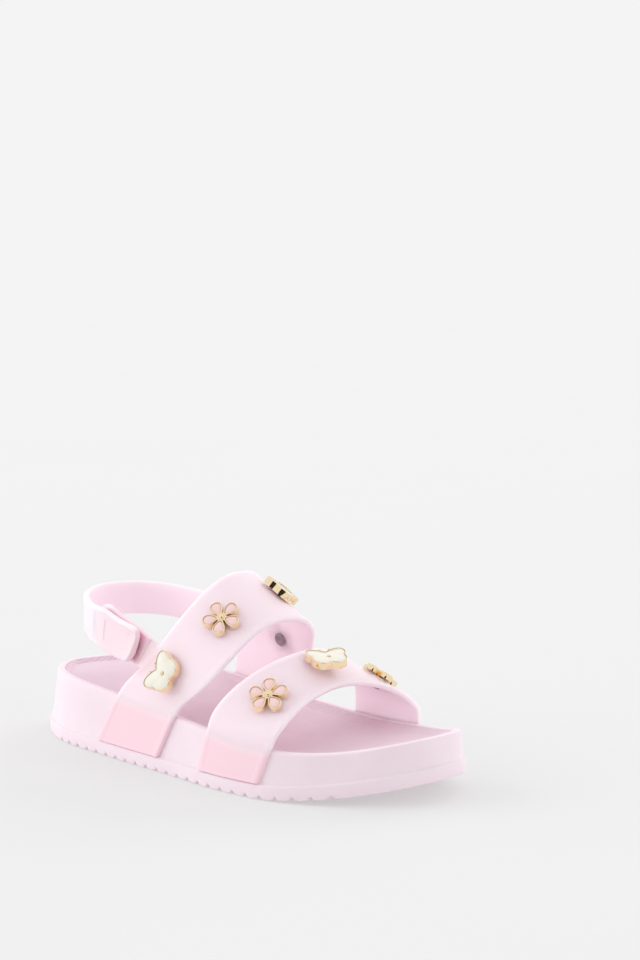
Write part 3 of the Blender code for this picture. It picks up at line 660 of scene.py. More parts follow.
@dataclass(frozen=True)
class GiltZinc:
    """Die-cast zinc alloy with a pale gold plating: a bright mirror that takes dark lines from its edges."""

    colour: str = "#FAE3BE"
    roughness: float = 0.07
    cast: float = 1.5 * MM

    def build(self) -> bpy.types.Material:
        """Makes the material: a polished metal whose gloss drifts a little, as on a tumbled casting."""
        material, tree, shader = blank_material("gold_plated_zinc")
        place = add_node(tree, "ShaderNodeTexCoord").outputs["Object"]
        noise = {"Vector": place, "Scale": 1 / self.cast, "Detail": 1.0}
        drift = {
            "Value": add_node(tree, "ShaderNodeTexNoise", noise).outputs["Fac"],
            "To Min": self.roughness * 0.6,
            "To Max": self.roughness * 1.5,
        }
        inputs = {
            "Base Color": linear(self.colour),
            "Metallic": 1.0,
            "Roughness": add_node(tree, "ShaderNodeMapRange", drift).outputs["Result"],
        }
        plug(tree, shader, inputs)
        return material


@dataclass(frozen=True)
class Enamel:
    """Poured epoxy enamel with a pearl pigment: a glossy, slightly domed skin over a cloudy colour."""

    name: str
    colour: str
    cloud: str
    pearl: float = 1.6 * MM

    def build(self) -> bpy.types.Material:
        """Makes the material: clouds of pearl under a clear gloss."""
        material, tree, shader = blank_material(self.name)
        inputs = {
            "Base Color": clouded_colour(tree, self.pearl, self.cloud, self.colour, stir=0.6),
            "Roughness": 0.12,
            "Coat Weight": 0.5,
            "Coat Roughness": 0.05,
        }
        plug(tree, shader, inputs)
        return material


@dataclass(frozen=True)
class RivetSteel:
    """Stamped steel with a dull nickel plating, grey through the jelly."""

    colour: str = "#A79AA2"
    roughness: float = 0.42
    grain: float = 0.3 * MM

    def build(self) -> bpy.types.Material:
        """Makes the material: a plain grey metal with a fine stamped grain."""
        material, tree, shader = blank_material("nickel_plated_rivet")
        inputs = {
            "Base Color": linear(self.colour),
            "Metallic": 1.0,
            "Roughness": self.roughness,
            "Normal": rough_skin(tree, self.grain, 1.0, 0.2, 0.05 * MM),
        }
        plug(tree, shader, inputs)
        return material


@dataclass
class Finishes:
    """The sandal's materials, one for each real one."""

    foam: bpy.types.Material = field(default_factory=lambda: MouldedFoam().build())
    insole: bpy.types.Material = field(default_factory=lambda: RibbedInsoleFoam().build())
    jelly: bpy.types.Material = field(default_factory=lambda: JellyPvc().build())
    fabric: bpy.types.Material = field(default_factory=lambda: LoopFabric().build())
    gilt: bpy.types.Material = field(default_factory=lambda: GiltZinc().build())
    rivet: bpy.types.Material = field(default_factory=lambda: RivetSteel().build())
    pink: bpy.types.Material = field(
        default_factory=lambda: Enamel("poured_pink_enamel", "#F6D6D4", "#F0C8C6").build()
    )
    ivory: bpy.types.Material = field(
        default_factory=lambda: Enamel("poured_ivory_enamel", "#F8F5EA", "#EDE8D8").build()
    )


def finish_piece(
    piece: bpy.types.Object, material: bpy.types.Material, nodes: Sequence[str]
) -> None:
    """Dresses a piece and lets it stand for its CAD nodes.

    Args:
        piece: The piece, in place.
        material: Its material.
        nodes: The CAD nodes that it stands for.
    """
    piece.data.materials.clear()
    piece.data.materials.append(material)
    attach(piece, BODY)
    if nodes:
        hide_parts(*nodes)
    LOG.info("%s: %d faces, for %s", piece.name, len(piece.data.polygons), ", ".join(nodes) or "nothing")


# The sole


@dataclass(frozen=True)
class Last:
    """The sole's plan and side lines, from which every piece takes its place."""

    length: float
    width: float
    rim_height: float = 22.2 * MM
    lip_height: float = 4.7 * MM
    lip_step: float = 0.9 * MM
    heel_draft: float = 1.9 * MM
    toe_draft: float = 1.0 * MM
    toe_spring: float = 7.0 * MM
    heel_lift: float = 0.8 * MM
    cup_depth: float = 5.0 * MM
    spring_from: float = 0.72
    heel_flat_from: float = 0.05

    @classmethod
    def from_frame(cls) -> Last:
        """Takes the sole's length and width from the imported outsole."""
        low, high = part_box("outsole")
        return cls(length=high[0] - low[0], width=high[1] - low[1])

    def share(self, x: np.ndarray | float) -> np.ndarray | float:
        """Gives the share of the length at x, from the heel."""
        return x / self.length + 0.5

    def x(self, share: np.ndarray | float) -> np.ndarray | float:
        """Gives the x at a share of the length."""
        return (share - 0.5) * self.length

    def sides(self) -> dict[Side, np.ndarray]:
        """Gives the lip's outline as its two sides, each from heel to toe: x, y and the way inward."""
        outer = [(row[0] * self.length, row[1] * self.width) for row in OUTLINE]
        inner = [(row[0] * self.length, row[2] * self.width) for row in OUTLINE[-2:0:-1]]
        line = curve_through(outer + inner, 40, closed=True)
        low, high = line.min(0), line.max(0)
        line = (line - (low + high) / 2) * [self.length / (high[0] - low[0]), self.width / (high[1] - low[1])]
        along = np.roll(line, -1, 0) - np.roll(line, 1, 0)
        along /= np.linalg.norm(along, axis=1)[:, None]
        rows = np.hstack([line, np.stack([-along[:, 1], along[:, 0]], 1)])
        rows = np.roll(rows, -int(line[:, 0].argmin()), axis=0)
        toe = int(rows[:, 0].argmax())
        return {Side.OUTER: rows[: toe + 1], Side.INNER: np.vstack([rows[:1], rows[: toe - 1 : -1]])}

    def side_at(self, side: Side, x: float) -> tuple[float, float, float]:
        """Gives a side of the lip at x: y and the way inward."""
        rows = OUTLINE_SIDES[side]
        return tuple(float(np.interp(x, rows[:, 0], rows[:, k])) for k in (1, 2, 3))

    def underside(self, x: np.ndarray) -> np.ndarray:
        """Gives the height of the underside at x, without its grooves."""
        share = np.asarray(self.share(x))
        toe = self.toe_spring * (np.maximum(share - self.spring_from, 0) / (1 - self.spring_from)) ** 2
        heel = self.heel_lift * (np.maximum(self.heel_flat_from - share, 0) / self.heel_flat_from) ** 2
        return toe + heel

    def lip_top(self, x: np.ndarray) -> np.ndarray:
        """Gives the height of the top of the outsole at x."""
        return self.underside(x) + self.lip_height

    def side_line(self, x: np.ndarray | float, column: int) -> np.ndarray:
        """Reads a column of SIDE_LINES, smoothly.

        Args:
            x: The places along the sandal.
            column: The column.

        Returns:
            Its shares there.
        """
        places = [row[0] for row in SIDE_LINES]
        return smooth_table(self.share(x), places, [row[column] for row in SIDE_LINES])

    def rim_top(self, x: np.ndarray) -> np.ndarray:
        """Gives the height of the footbed's rim at x."""
        return self.rim_height * self.side_line(x, 1)

    def cup(self, x: np.ndarray) -> np.ndarray:
        """Gives how deep the insole lies under the rim at x."""
        return self.cup_depth * self.side_line(x, 2)

    def wall_inset(self, x: np.ndarray, height: np.ndarray) -> np.ndarray:
        """Gives how far the footbed's wall lies inside the lip, at x and a height over the floor."""
        draft = self.heel_draft + (self.toe_draft - self.heel_draft) * self.share(x)
        return self.lip_step + draft * (height - self.lip_top(x)) / (self.rim_top(x) - self.lip_top(x))

    def ring(self, stations: Sequence[float]) -> np.ndarray:
        """Gives the outline's points with their way inward: heel, outer side, toe and inner side."""
        rows = OUTLINE_SIDES[Side.OUTER]
        heel, toe = rows[0], rows[-1]
        outer = [(x, *self.side_at(Side.OUTER, x)) for x in stations]
        inner = [(x, *self.side_at(Side.INNER, x)) for x in reversed(stations)]
        return np.array([(heel[0], heel[1], 1.0, 0.0), *outer, (toe[0], toe[1], -1.0, 0.0), *inner])


LAST = Last.from_frame()
OUTLINE_SIDES = LAST.sides()
Height = Callable[[np.ndarray], np.ndarray]


def inset_ring(places: np.ndarray, inset: np.ndarray | float, height: Height) -> np.ndarray:
    """Gives a ring inside the outline.

    Args:
        places: The outline's points with their way inward.
        inset: How far inside it lies.
        height: The ring's height as a function of x.

    Returns:
        The ring's points.
    """
    moved = places[:, :2] + places[:, 2:] * np.broadcast_to(inset, len(places))[:, None]
    return np.column_stack([moved, height(moved[:, 0])])


def tip_stations(tip: float, inner: float, count: int) -> list[float]:
    """Gives places between a tip of the sole and a place further in, closer together at the tip."""
    return [tip + (inner - tip) * (1 - math.cos(math.pi / 2 * k / count)) for k in range(1, count)]


@dataclass(frozen=True)
class Outsole:
    """The moulded outsole: a rounded lip, straight grooves across the underside and a raised toe."""

    pitch: float = 5.3 * MM
    depth: float = 1.1 * MM
    edge_round: float = 0.6 * MM
    tread_from: float = 0.165
    tread_to: float = 0.905
    tip_count: int = 30

    def stations(self) -> dict[float, float]:
        """Gives the places along the sole, each with its groove's depth."""
        count = int((self.tread_to - self.tread_from) * LAST.length / self.pitch) + 1
        lifts = {}
        for k in range(count):
            middle = LAST.x(self.tread_from) + k * self.pitch
            lifts.update({middle + phase * self.pitch: share * self.depth for phase, share in GROOVE})
        first, last = min(lifts), max(lifts)
        plain = tip_stations(-LAST.length / 2, first, self.tip_count)
        plain += tip_stations(LAST.length / 2, last, self.tip_count)
        lifts.update({x: 0.0 for x in plain})
        return dict(sorted(lifts.items()))

    def build(self) -> bpy.types.Object:
        """Builds the outsole's mesh.

        Returns:
            The outsole.
        """
        lifts = self.stations()
        places = LAST.ring(list(lifts))
        lift = np.array([lifts.get(x, 0.0) for x in places[:, 0]])
        r = self.edge_round
        turns = np.radians([90, 60, 30, 0])
        rings = []
        for turn in turns:
            ring = inset_ring(places, r * (1 - math.cos(turn)), LAST.underside)
            ring[:, 2] += lift + r * (1 - math.sin(turn))
            rings.append(ring)
        middle = inset_ring(places, 0.0, lambda x: LAST.underside(x) + 0.5 * LAST.lip_height)
        rings.append(middle)
        for turn in turns[::-1]:
            rise = r * (1 - math.sin(turn))
            rings.append(inset_ring(places, r * (1 - math.cos(turn)), lambda x, d=rise: LAST.lip_top(x) - d))
        count = len(places)
        faces = ring_faces(len(rings), count) + across_faces(0, count)
        faces += across_faces((len(rings) - 1) * count, count)
        return mesh_object("moulded_outsole", np.vstack(rings), faces)

    def dress(self, finishes: Finishes) -> None:
        """Builds the outsole in foam."""
        finish_piece(self.build(), finishes.foam, ["outsole"])


@dataclass(frozen=True)
class Cup:
    """The cupped surface under the foot, which the footbed and the insole share."""

    drop: float = 0.4 * MM
    spine: float = 0.80

    def rings(self, places: np.ndarray, border: float, below: float) -> tuple[np.ndarray, np.ndarray]:
        """Gives the cup's rings and its middle line.

        Args:
            places: The outline's points with their way inward.
            border: How far inside the wall the cup begins.
            below: How far under the insole's top it lies.

        Returns:
            The rings, from the outermost in, and the middle line from heel to toe.
        """
        inset = LAST.wall_inset(places[:, 0], LAST.rim_top(places[:, 0])) + border
        edge = inset_ring(places, inset, LAST.rim_top)
        half = len(edge) // 2
        middle = (edge[0, 0] + edge[half, 0]) / 2
        spine = np.array([(edge[k] + edge[-k]) / 2 if 0 < k < half else edge[k] for k in range(half + 1)])
        spine[:, 0] = middle + (spine[:, 0] - middle) * self.spine
        partner = spine[[k if k <= half else len(edge) - k for k in range(len(edge))]]

        def lowered(points: np.ndarray, depth: float) -> np.ndarray:
            points = points.copy()
            x = points[:, 0]
            points[:, 2] = LAST.rim_top(x) - self.drop - depth * LAST.cup(x) - below
            return points

        steps = np.linspace(0, 1, 19)[:-1] ** 1.4 * CUP_SLOPE[-1][0]
        steps = np.append(steps, CUP_SLOPE[-1][0])
        depths = smooth_table(steps, [r[0] for r in CUP_SLOPE], [r[1] for r in CUP_SLOPE])
        rings = np.array([lowered(edge + (partner - edge) * s, d) for s, d in zip(steps, depths)])
        return rings, lowered(spine, 1.0)

    def faces(self, start: int, rings: int, count: int) -> list[tuple[int, ...]]:
        """Gives the faces of rings that start at a vertex, and of the middle line after them."""
        faces = [tuple(start + v for v in face) for face in ring_faces(rings, count)]
        last, spine = start + (rings - 1) * count, start + rings * count
        for k in range(count // 2):
            faces.append((last + k, last + k + 1, spine + k + 1, spine + k))
            faces.append((last + count - k - 1, last + (count - k) % count, spine + k, spine + k + 1))
        return faces


def even_stations(count: int) -> list[float]:
    """Gives places along the whole sole, closer together at the tips."""
    return [-LAST.length / 2 * math.cos(math.pi * k / count) for k in range(1, count)]


@dataclass(frozen=True)
class Footbed:
    """The moulded footbed: a straight wall with a little draft, a rounded rim and the insole's recess."""

    rim_round: float = 0.9 * MM
    rim_edge: tuple[tuple[float, float], ...] = ((0.7, 0.0), (0.25, 0.08), (0.0, 0.35))  # inward, down, mm
    rim_width: float = 2.6 * MM
    gap: float = 0.3 * MM
    count: int = 130

    def build(self, insole_thickness: float) -> bpy.types.Object:
        """Builds the footbed's mesh.

        Args:
            insole_thickness: How thick the sheet in its recess is.

        Returns:
            The footbed.
        """
        places = LAST.ring(even_stations(self.count))
        x = places[:, 0]
        shoulder = LAST.rim_top(x) - self.rim_round
        rings = []
        for up, out in FOOT_FILLET:
            height = LAST.lip_top(x) + up * MM
            ring = inset_ring(places, LAST.wall_inset(x, height) - out * MM, LAST.rim_top)
            rings.append(np.column_stack([ring[:, :2], height]))
        foot = LAST.lip_top(x) + FOOT_FILLET[-1][0] * MM
        for share in (0.25, 0.5, 0.75, 1.0):
            height = foot + (shoulder - foot) * share
            ring = inset_ring(places, LAST.wall_inset(x, height), LAST.rim_top)
            rings.append(np.column_stack([ring[:, :2], height]))
        wall = LAST.wall_inset(x, shoulder)
        for turn in np.radians([22, 45, 68, 90]):
            ring = inset_ring(places, wall + self.rim_round * (1 - math.cos(turn)), LAST.rim_top)
            ring[:, 2] -= self.rim_round * (1 - math.sin(turn))
            rings.append(ring)
        for inner, down in self.rim_edge:
            ring = inset_ring(places, wall + self.rim_width - inner * MM, LAST.rim_top)
            ring[:, 2] -= down * MM
            rings.append(ring)
        cup, spine = Cup().rings(places, self.rim_width, insole_thickness + self.gap)
        count = len(places)
        faces = ring_faces(len(rings) + len(cup), count)
        start = len(rings) * count
        faces += [f for f in Cup().faces(start, len(cup), count) if max(f) >= start + len(cup) * count]
        faces += across_faces(0, count)
        return mesh_object("moulded_footbed", np.vstack([*rings, *cup, spine]), faces)

    def dress(self, finishes: Finishes, insole_thickness: float) -> None:
        """Builds the footbed in foam."""
        finish_piece(self.build(insole_thickness), finishes.foam, ["footbed"])


@dataclass(frozen=True)
class Insole:
    """The insole: a thin ribbed sheet, laid in the footbed's recess and cupped with it."""

    thickness: float = 1.2 * MM
    border: float = 2.62 * MM
    edge: float = 0.15 * MM
    count: int = 130

    def build(self) -> bpy.types.Object:
        """Builds the insole's mesh.

        Returns:
            The insole.
        """
        places = LAST.ring(even_stations(self.count))
        count = len(places)
        top, spine = Cup().rings(places, self.border, 0.0)
        under, _ = Cup().rings(places, self.border, self.thickness)
        lip, _ = Cup().rings(places, self.border, self.edge)
        top_faces = Cup().faces(0, len(top), count)
        base = len(top) * count + len(spine)
        ease = top[0].copy()
        ease[:, :2] += (top[1] - top[0])[:, :2] * 0.5
        top[0] = ease
        skirt = [lip[0], under[0]]
        points = np.vstack([*top, spine, *skirt])
        faces = top_faces + [(k, (k + 1) % count, base + (k + 1) % count, base + k) for k in range(count)]
        faces += [tuple(base + v for v in face) for face in ring_faces(2, count)]
        faces += across_faces(base + count, count)
        return mesh_object("ribbed_insole", points, faces, 60)

    def dress(self, finishes: Finishes) -> None:
        """Builds the insole in ribbed foam."""
        finish_piece(self.build(), finishes.insole, ["insole"])


# The upper


class Ribbon:
    """A strip between two edge lines, on which walls and pads are laid.

    A place on it has a row along the strip, a share of the way from the low edge to the high one, a distance
    added across, and a distance out of its outer face.
    """

    def __init__(self, low: np.ndarray, high: np.ndarray, inside: Sequence[float]) -> None:
        """Works out the ribbon's directions.

        Args:
            low: The low edge's points.
            high: The high edge's points, as many.
            inside: A point on the side of the foot.
        """
        self.low, self.high = np.asarray(low, float), np.asarray(high, float)
        self.rows = len(self.low) - 1
        across = self.high - self.low
        self.across = across / np.linalg.norm(across, axis=1)[:, None]
        self.out = []
        for edge in (self.low, self.high):
            out = np.cross(np.gradient(edge, axis=0), self.across)
            out /= np.linalg.norm(out, axis=1)[:, None]
            out[((edge - np.asarray(inside)) * out).sum(1) < 0] *= -1
            self.out.append(out)

    def point(self, row: float, share: float, add: float = 0.0, out: float = 0.0) -> np.ndarray:
        """Gives one place on the ribbon.

        Args:
            row: The row, which may lie between two.
            share: The share of the way from the low edge to the high one.
            add: A distance added across.
            out: A distance out of the outer face.

        Returns:
            The point.
        """
        rows = np.arange(self.rows + 1)

        def read(values: np.ndarray) -> np.ndarray:
            return np.array([np.interp(row, rows, values[:, k]) for k in range(3)])

        low, high = read(self.low), read(self.high)
        away = read(self.out[0]) * (1 - share) + read(self.out[1]) * share
        away /= np.linalg.norm(away)
        return low + (high - low) * share + read(self.across) * add + away * out

    def solid(
        self,
        name: str,
        rows: Sequence[float],
        section: Callable[[float], Sequence[tuple[float, float, float]]],
    ) -> bpy.types.Object:
        """Lays a closed wall on the ribbon.

        Args:
            name: The object's name.
            rows: The rows that get a ring.
            section: The section's places for a row, as share, distance added and distance out.

        Returns:
            The wall.
        """
        rings = np.array([[self.point(row, *place) for place in section(row)] for row in rows])
        return lofted(name, rings, 50)


class WallRibbon(Ribbon):
    """A band's ribbon, whose legs follow the footbed's curved wall."""

    def __init__(
        self, low: np.ndarray, high: np.ndarray, inside: Sequence[float], proud: float, legs: int, fade: float
    ) -> None:
        """Keeps how the legs lie.

        Args:
            low: The low edge's points.
            high: The high edge's points, as many.
            inside: A point on the side of the foot.
            proud: How far the outer face stands out of the wall.
            legs: How many rows each leg has.
            fade: Over how many rows the arch leaves the wall's curve.
        """
        super().__init__(low, high, inside)
        self.proud, self.legs, self.fade = proud, legs, fade

    def point(self, row: float, share: float, add: float = 0.0, out: float = 0.0) -> np.ndarray:
        """Gives one place on the ribbon, with its leg laid on the wall.

        Args:
            row: The row, which may lie between two.
            share: The share of the way from the low edge to the high one.
            add: A distance added across.
            out: A distance out of the outer face.

        Returns:
            The point.
        """
        point = super().point(row, share, add, out)
        away = float(np.clip((min(row, self.rows - row) - self.legs) / self.fade, 0, 1))
        hold = 1 - away * away * (3 - 2 * away)
        if hold > 0:
            side = Side.OUTER if row < self.rows / 2 else Side.INNER
            y, _, inward = LAST.side_at(side, point[0])
            inset = float(LAST.wall_inset(point[0], point[2])) - self.proud - out
            point[1] += hold * (y + math.copysign(1.0, inward) * inset - point[1])
        return point


def add_mark(obj: bpy.types.Object, name: str, values: np.ndarray) -> None:
    """Gives an object's vertices a named value that its material reads."""
    obj.data.attributes.new(name, "FLOAT", "POINT").data.foreach_set("value", values)


def mark_backed(obj: bpy.types.Object, doubled: np.ndarray | None = None) -> None:
    """Marks where the jelly has something behind it: the foam below the rim, or a second strip.

    Args:
        obj: The upper or the band.
        doubled: The points of the line along which two strips overlap.
    """
    above, depth, reach, soft, share = 0.5 * MM, 4.0 * MM, 8.0 * MM, 1.5 * MM, 0.35
    mesh = obj.data
    places = np.empty(3 * len(mesh.vertices))
    mesh.vertices.foreach_get("co", places)
    places = places.reshape(-1, 3)
    # where this mark is high the jelly takes its painted shade colour; the overlap's weaker mark only lowers
    # the glow
    marks = np.clip((LAST.rim_top(places[:, 0]) + above - places[:, 2]) / depth, 0, 1)
    if doubled is not None:
        away = np.linalg.norm(places[:, None] - doubled[None], axis=2).min(axis=1)
        marks = np.maximum(marks, share * np.clip((reach - away) / soft, 0, 1))
    add_mark(obj, BACKED, marks)


def rounded_corner(
    share: float, side: int, radius: float, level: float, up: int
) -> list[tuple[float, float, float]]:
    """Gives the places of a section's rounded corner.

    Args:
        share: The edge that it lies on, 0 or 1.
        side: 1 where the wall lies toward the high edge, -1 where it lies toward the low one.
        radius: The corner's radius.
        level: The face's distance out.
        up: 1 for an outer face's corner, -1 for an inner one's.

    Returns:
        The places, from the edge to the face.
    """
    places = []
    for turn in np.radians([0, 30, 60, 90]):
        add = side * radius * (1 - math.cos(turn))
        places.append((share, add, level - up * radius * (1 - math.sin(turn))))
    return places


def bordered_section(
    thickness: float,
    radius: float,
    steps: Sequence[tuple[float, float]],
    cut: float = 0.0,
    run: float = 1.2 * MM,
    crown: float = 0.15,
) -> list[tuple[float, float, float]]:
    """Gives the section of a wall whose outer face steps down from a thicker border along both edges.

    Args:
        thickness: The wall's thickness at the border.
        radius: The radius of its edges.
        steps: Each step's distance from the edge and its depth, from the edge inward.
        cut: How far both edges have drawn in.
        run: Over what width each step slopes down.
        crown: The share of the width between the middle and its neighbours.

    Returns:
        The section's places, all the way round.
    """
    slope = (0.0, 0.15, 0.5, 0.85, 1.0)
    drop = (0.0, 0.04, 0.5, 0.96, 1.0)
    low_face, high_face, level = [], [], 0.0
    for distance, depth in steps:
        for s, d in zip(slope, drop):
            low_face.append((0.0, cut + distance + s * run, level - d * depth))
            high_face.append((1.0, -cut - distance - s * run, level - d * depth))
        level -= depth
    top = [(share, 0.0, level) for share in (0.5 - crown, 0.5, 0.5 + crown)]
    under = [(share, 0.0, -thickness) for share in (0.5 + crown, 0.5, 0.5 - crown)]

    def shifted(corner: list[tuple[float, float, float]], sign: int) -> list[tuple[float, float, float]]:
        return [(share, add + sign * cut, out) for share, add, out in corner]

    outer_low = shifted(rounded_corner(0.0, 1, radius, 0.0, 1), 1)
    outer_high = shifted(rounded_corner(1.0, -1, radius, 0.0, 1), -1)
    inner_low = shifted(rounded_corner(0.0, 1, radius, -thickness, -1), 1)
    inner_high = shifted(rounded_corner(1.0, -1, radius, -thickness, -1), -1)
    return (
        outer_low + low_face + top + high_face[::-1] + outer_high[::-1] + inner_high + under + inner_low[::-1]
    )


@dataclass(frozen=True)
class Band:
    """An arched band of the upper: its legs lie on the footbed's wall and its arch crosses the foot."""

    name: str
    node: str
    edges: tuple[tuple[float, float, float], ...]
    feet: tuple[float, float, float, float]
    crest_back: float
    crest_front: float
    thickness: float = 2.0 * MM
    proud: float = 1.3 * MM
    border: float = 1.5 * MM
    step: float = 0.15 * MM
    edge_round: float = 0.55 * MM
    arch_start: float = 4.0 * MM
    outer_powers: tuple[float, float] = (1.08, 1.12)
    inner_powers: tuple[float, float] = (1.08, 1.12)
    gap: float = 0.3 * MM
    turn_step: int = 2
    leg_rows: int = 14
    wall_fade: float = 9.0

    def edge(self, column: int, feet: tuple[float, float], crest: float) -> np.ndarray:
        """Gives one edge of the outer face, from the outer foot over the crest to the inner foot.

        Args:
            column: The edge's column in the table.
            feet: The shares of the length where the outer and inner legs stand.
            crest: The edge's height over the instep.

        Returns:
            The edge's points.
        """
        turns = np.arange(0, 181, self.turn_step)
        x = LAST.x(smooth_table(turns, [r[0] for r in self.edges], [r[column] for r in self.edges]))
        start = LAST.rim_top(x) + self.arch_start
        inset = LAST.wall_inset(x, start) - self.proud
        outer = np.array([LAST.side_at(Side.OUTER, value)[0] for value in x]) + inset
        inner = np.array([LAST.side_at(Side.INNER, value)[0] for value in x]) - inset
        cosine, sine = np.cos(np.radians(turns)), np.clip(np.sin(np.radians(turns)), 0, 1)
        side_power, top_power = (
            np.where(turns <= 90, outer, inner) for outer, inner in zip(self.outer_powers, self.inner_powers)
        )
        sideways = np.sign(cosine) * np.abs(cosine) ** side_power
        y = (outer + inner) / 2 - (inner - outer) / 2 * sideways
        arch = np.column_stack([x, y, start + (crest - start) * sine**top_power])
        shares = np.arange(self.leg_rows)[:, None] / self.leg_rows
        outer_foot, inner_foot = self.foot(feet[0], Side.OUTER), self.foot(feet[1], Side.INNER)
        outer_leg = outer_foot + (arch[0] - outer_foot) * shares
        inner_leg = inner_foot + (arch[-1] - inner_foot) * shares[::-1]
        return eased(np.vstack([outer_leg, arch, inner_leg]), 10)

    def foot(self, share: float, side: Side) -> np.ndarray:
        """Gives the place where an edge of a leg stands on the lip."""
        x = LAST.x(share)
        height = LAST.lip_top(x) + self.gap
        y, _, inward = LAST.side_at(side, x)
        return np.array([x, y + math.copysign(LAST.wall_inset(x, height) - self.proud, inward), height])

    def ribbon(self) -> Ribbon:
        """Gives the band's outer face, whose low edge is the back one."""
        back = self.edge(1, (self.feet[0], self.feet[2]), self.crest_back)
        front = self.edge(2, (self.feet[1], self.feet[3]), self.crest_front)
        middle = (back + front).mean(0) / 2
        inside = (middle[0], 0.0, LAST.lip_height)
        return WallRibbon(back, front, inside, self.proud, self.leg_rows, self.wall_fade)

    def row(self, turn: float) -> float:
        """Gives the ribbon's row at a turn round the arch, in degrees."""
        return self.leg_rows + turn / self.turn_step

    def build(self) -> bpy.types.Object:
        """Builds the band's wall.

        Returns:
            The band.
        """
        section = bordered_section(self.thickness, self.edge_round, ((self.border, self.step),))
        ribbon = self.ribbon()
        return ribbon.solid(self.name, range(ribbon.rows + 1), lambda row: section)

    def dress(self, finishes: Finishes) -> None:
        """Builds the band in jelly."""
        band = self.build()
        mark_backed(band)
        finish_piece(band, finishes.jelly, [self.node])


REAR_BAND = Band(
    name="jelly_rear_upper",
    node="rear_upper",
    edges=REAR_EDGES,
    feet=(0.296, 0.480, 0.322, 0.507),
    crest_back=63.2 * MM,
    crest_front=50.0 * MM,
    inner_powers=(0.82, 0.91),
)
FRONT_BAND = Band(
    name="jelly_front_band",
    node="front_band",
    edges=FRONT_EDGES,
    feet=(0.603, 0.754, 0.663, 0.811),
    crest_back=42.0 * MM,
    crest_front=32.5 * MM,
)


@dataclass(frozen=True)
class Strip:
    """A flat strip of the closure: its wall, its rounded end and the rows of its path."""

    width: float = 13.6 * MM
    thickness: float = 1.9 * MM
    edge_round: float = 0.55 * MM
    root: float = 1.6 * MM
    corner: float = 3.8 * MM
    span: int = 14

    def root_edges(self, turns: tuple[float, float]) -> tuple[list[np.ndarray], list[np.ndarray]]:
        """Gives the first two rows of a strip that grows out of the rear band's back edge.

        Args:
            turns: Where its upper and lower edges leave the band, in degrees round the arch.

        Returns:
            The low edge's points and the high edge's.
        """
        band = REAR_BAND.ribbon()
        upper, lower = (REAR_BAND.row(turn) for turn in turns)
        sunk = (self.thickness - REAR_BAND.thickness) / 2
        lows = [band.point(lower, 0, add, sunk) for add in (self.root, 0.0)]
        highs = [band.point(upper, 0, add, sunk) for add in (self.root, 0.0)]
        return lows, highs

    def follow(
        self, lows: list[np.ndarray], highs: list[np.ndarray], path: Sequence[Sequence[float]]
    ) -> None:
        """Adds a path's rows to a strip's edges, each square to the path and as upright as it can be.

        Args:
            lows: The low edge's points so far.
            highs: The high edge's points so far.
            path: The path's table.
        """
        middles = [np.array([LAST.x(x), y * LAST.width, z * REAR_BAND.crest_back]) for x, y, z, _ in path]
        before = [(lows[-1] + highs[-1]) / 2, *middles[:-1]]
        after = [*middles[1:], 2 * middles[-1] - middles[-2]]
        for middle, row, last, following in zip(middles, path, before, after):
            along = (following - last) / np.linalg.norm(following - last)
            up = np.array([0, 0, 1.0]) - along[2] * along
            up *= row[3] * self.width / 2 / np.linalg.norm(up)
            lows.append(middle - up)
            highs.append(middle + up)

    def end_inset(self, distance: float, radius: float) -> float:
        """Gives how far a rounded corner has drawn in, at a distance from the strip's end."""
        if distance >= radius:
            return 0.0
        return radius - math.sqrt(radius**2 - (radius - max(distance, 0.0)) ** 2)


@dataclass(frozen=True)
class ClosureStrip(Strip):
    """The strip under the tab, which carries the loop pad."""

    turns: tuple[float, float] = (27, 14)

    def ribbon(self) -> Ribbon:
        """Gives the strip's outer face."""
        lows, highs = self.root_edges(self.turns)
        self.follow(lows, highs, CLOSURE_PATH)
        inside = (LAST.x(CLOSURE_PATH[0][0]), 0.0, lows[0][2])
        return Ribbon(curve_through(lows, self.span), curve_through(highs, self.span), inside)

    def build(self) -> bpy.types.Object:
        """Builds the strip's wall, with a rounded free end.

        Returns:
            The strip.
        """
        ribbon = self.ribbon()
        end = ribbon.point(ribbon.rows, 0.5)
        last = float(np.linalg.norm(end - ribbon.point(ribbon.rows - 1, 0.5)))
        near = [self.corner * share for share in (0.01, 0.04, 0.1, 0.2, 0.35, 0.55, 0.8)]
        stop = ribbon.rows - self.corner / last
        rows = [row for row in range(ribbon.rows) if row < stop]
        rows += sorted(ribbon.rows - d / last for d in near)

        def section(row: float) -> list[tuple[float, float, float]]:
            left = float(np.linalg.norm(end - ribbon.point(row, 0.5)))
            cut = self.end_inset(left, self.corner)
            return bordered_section(self.thickness, self.edge_round, ((0.8 * MM, 0.0),), cut, 0.6 * MM, 0.04)

        return ribbon.solid("closure_strip_form", rows, section)


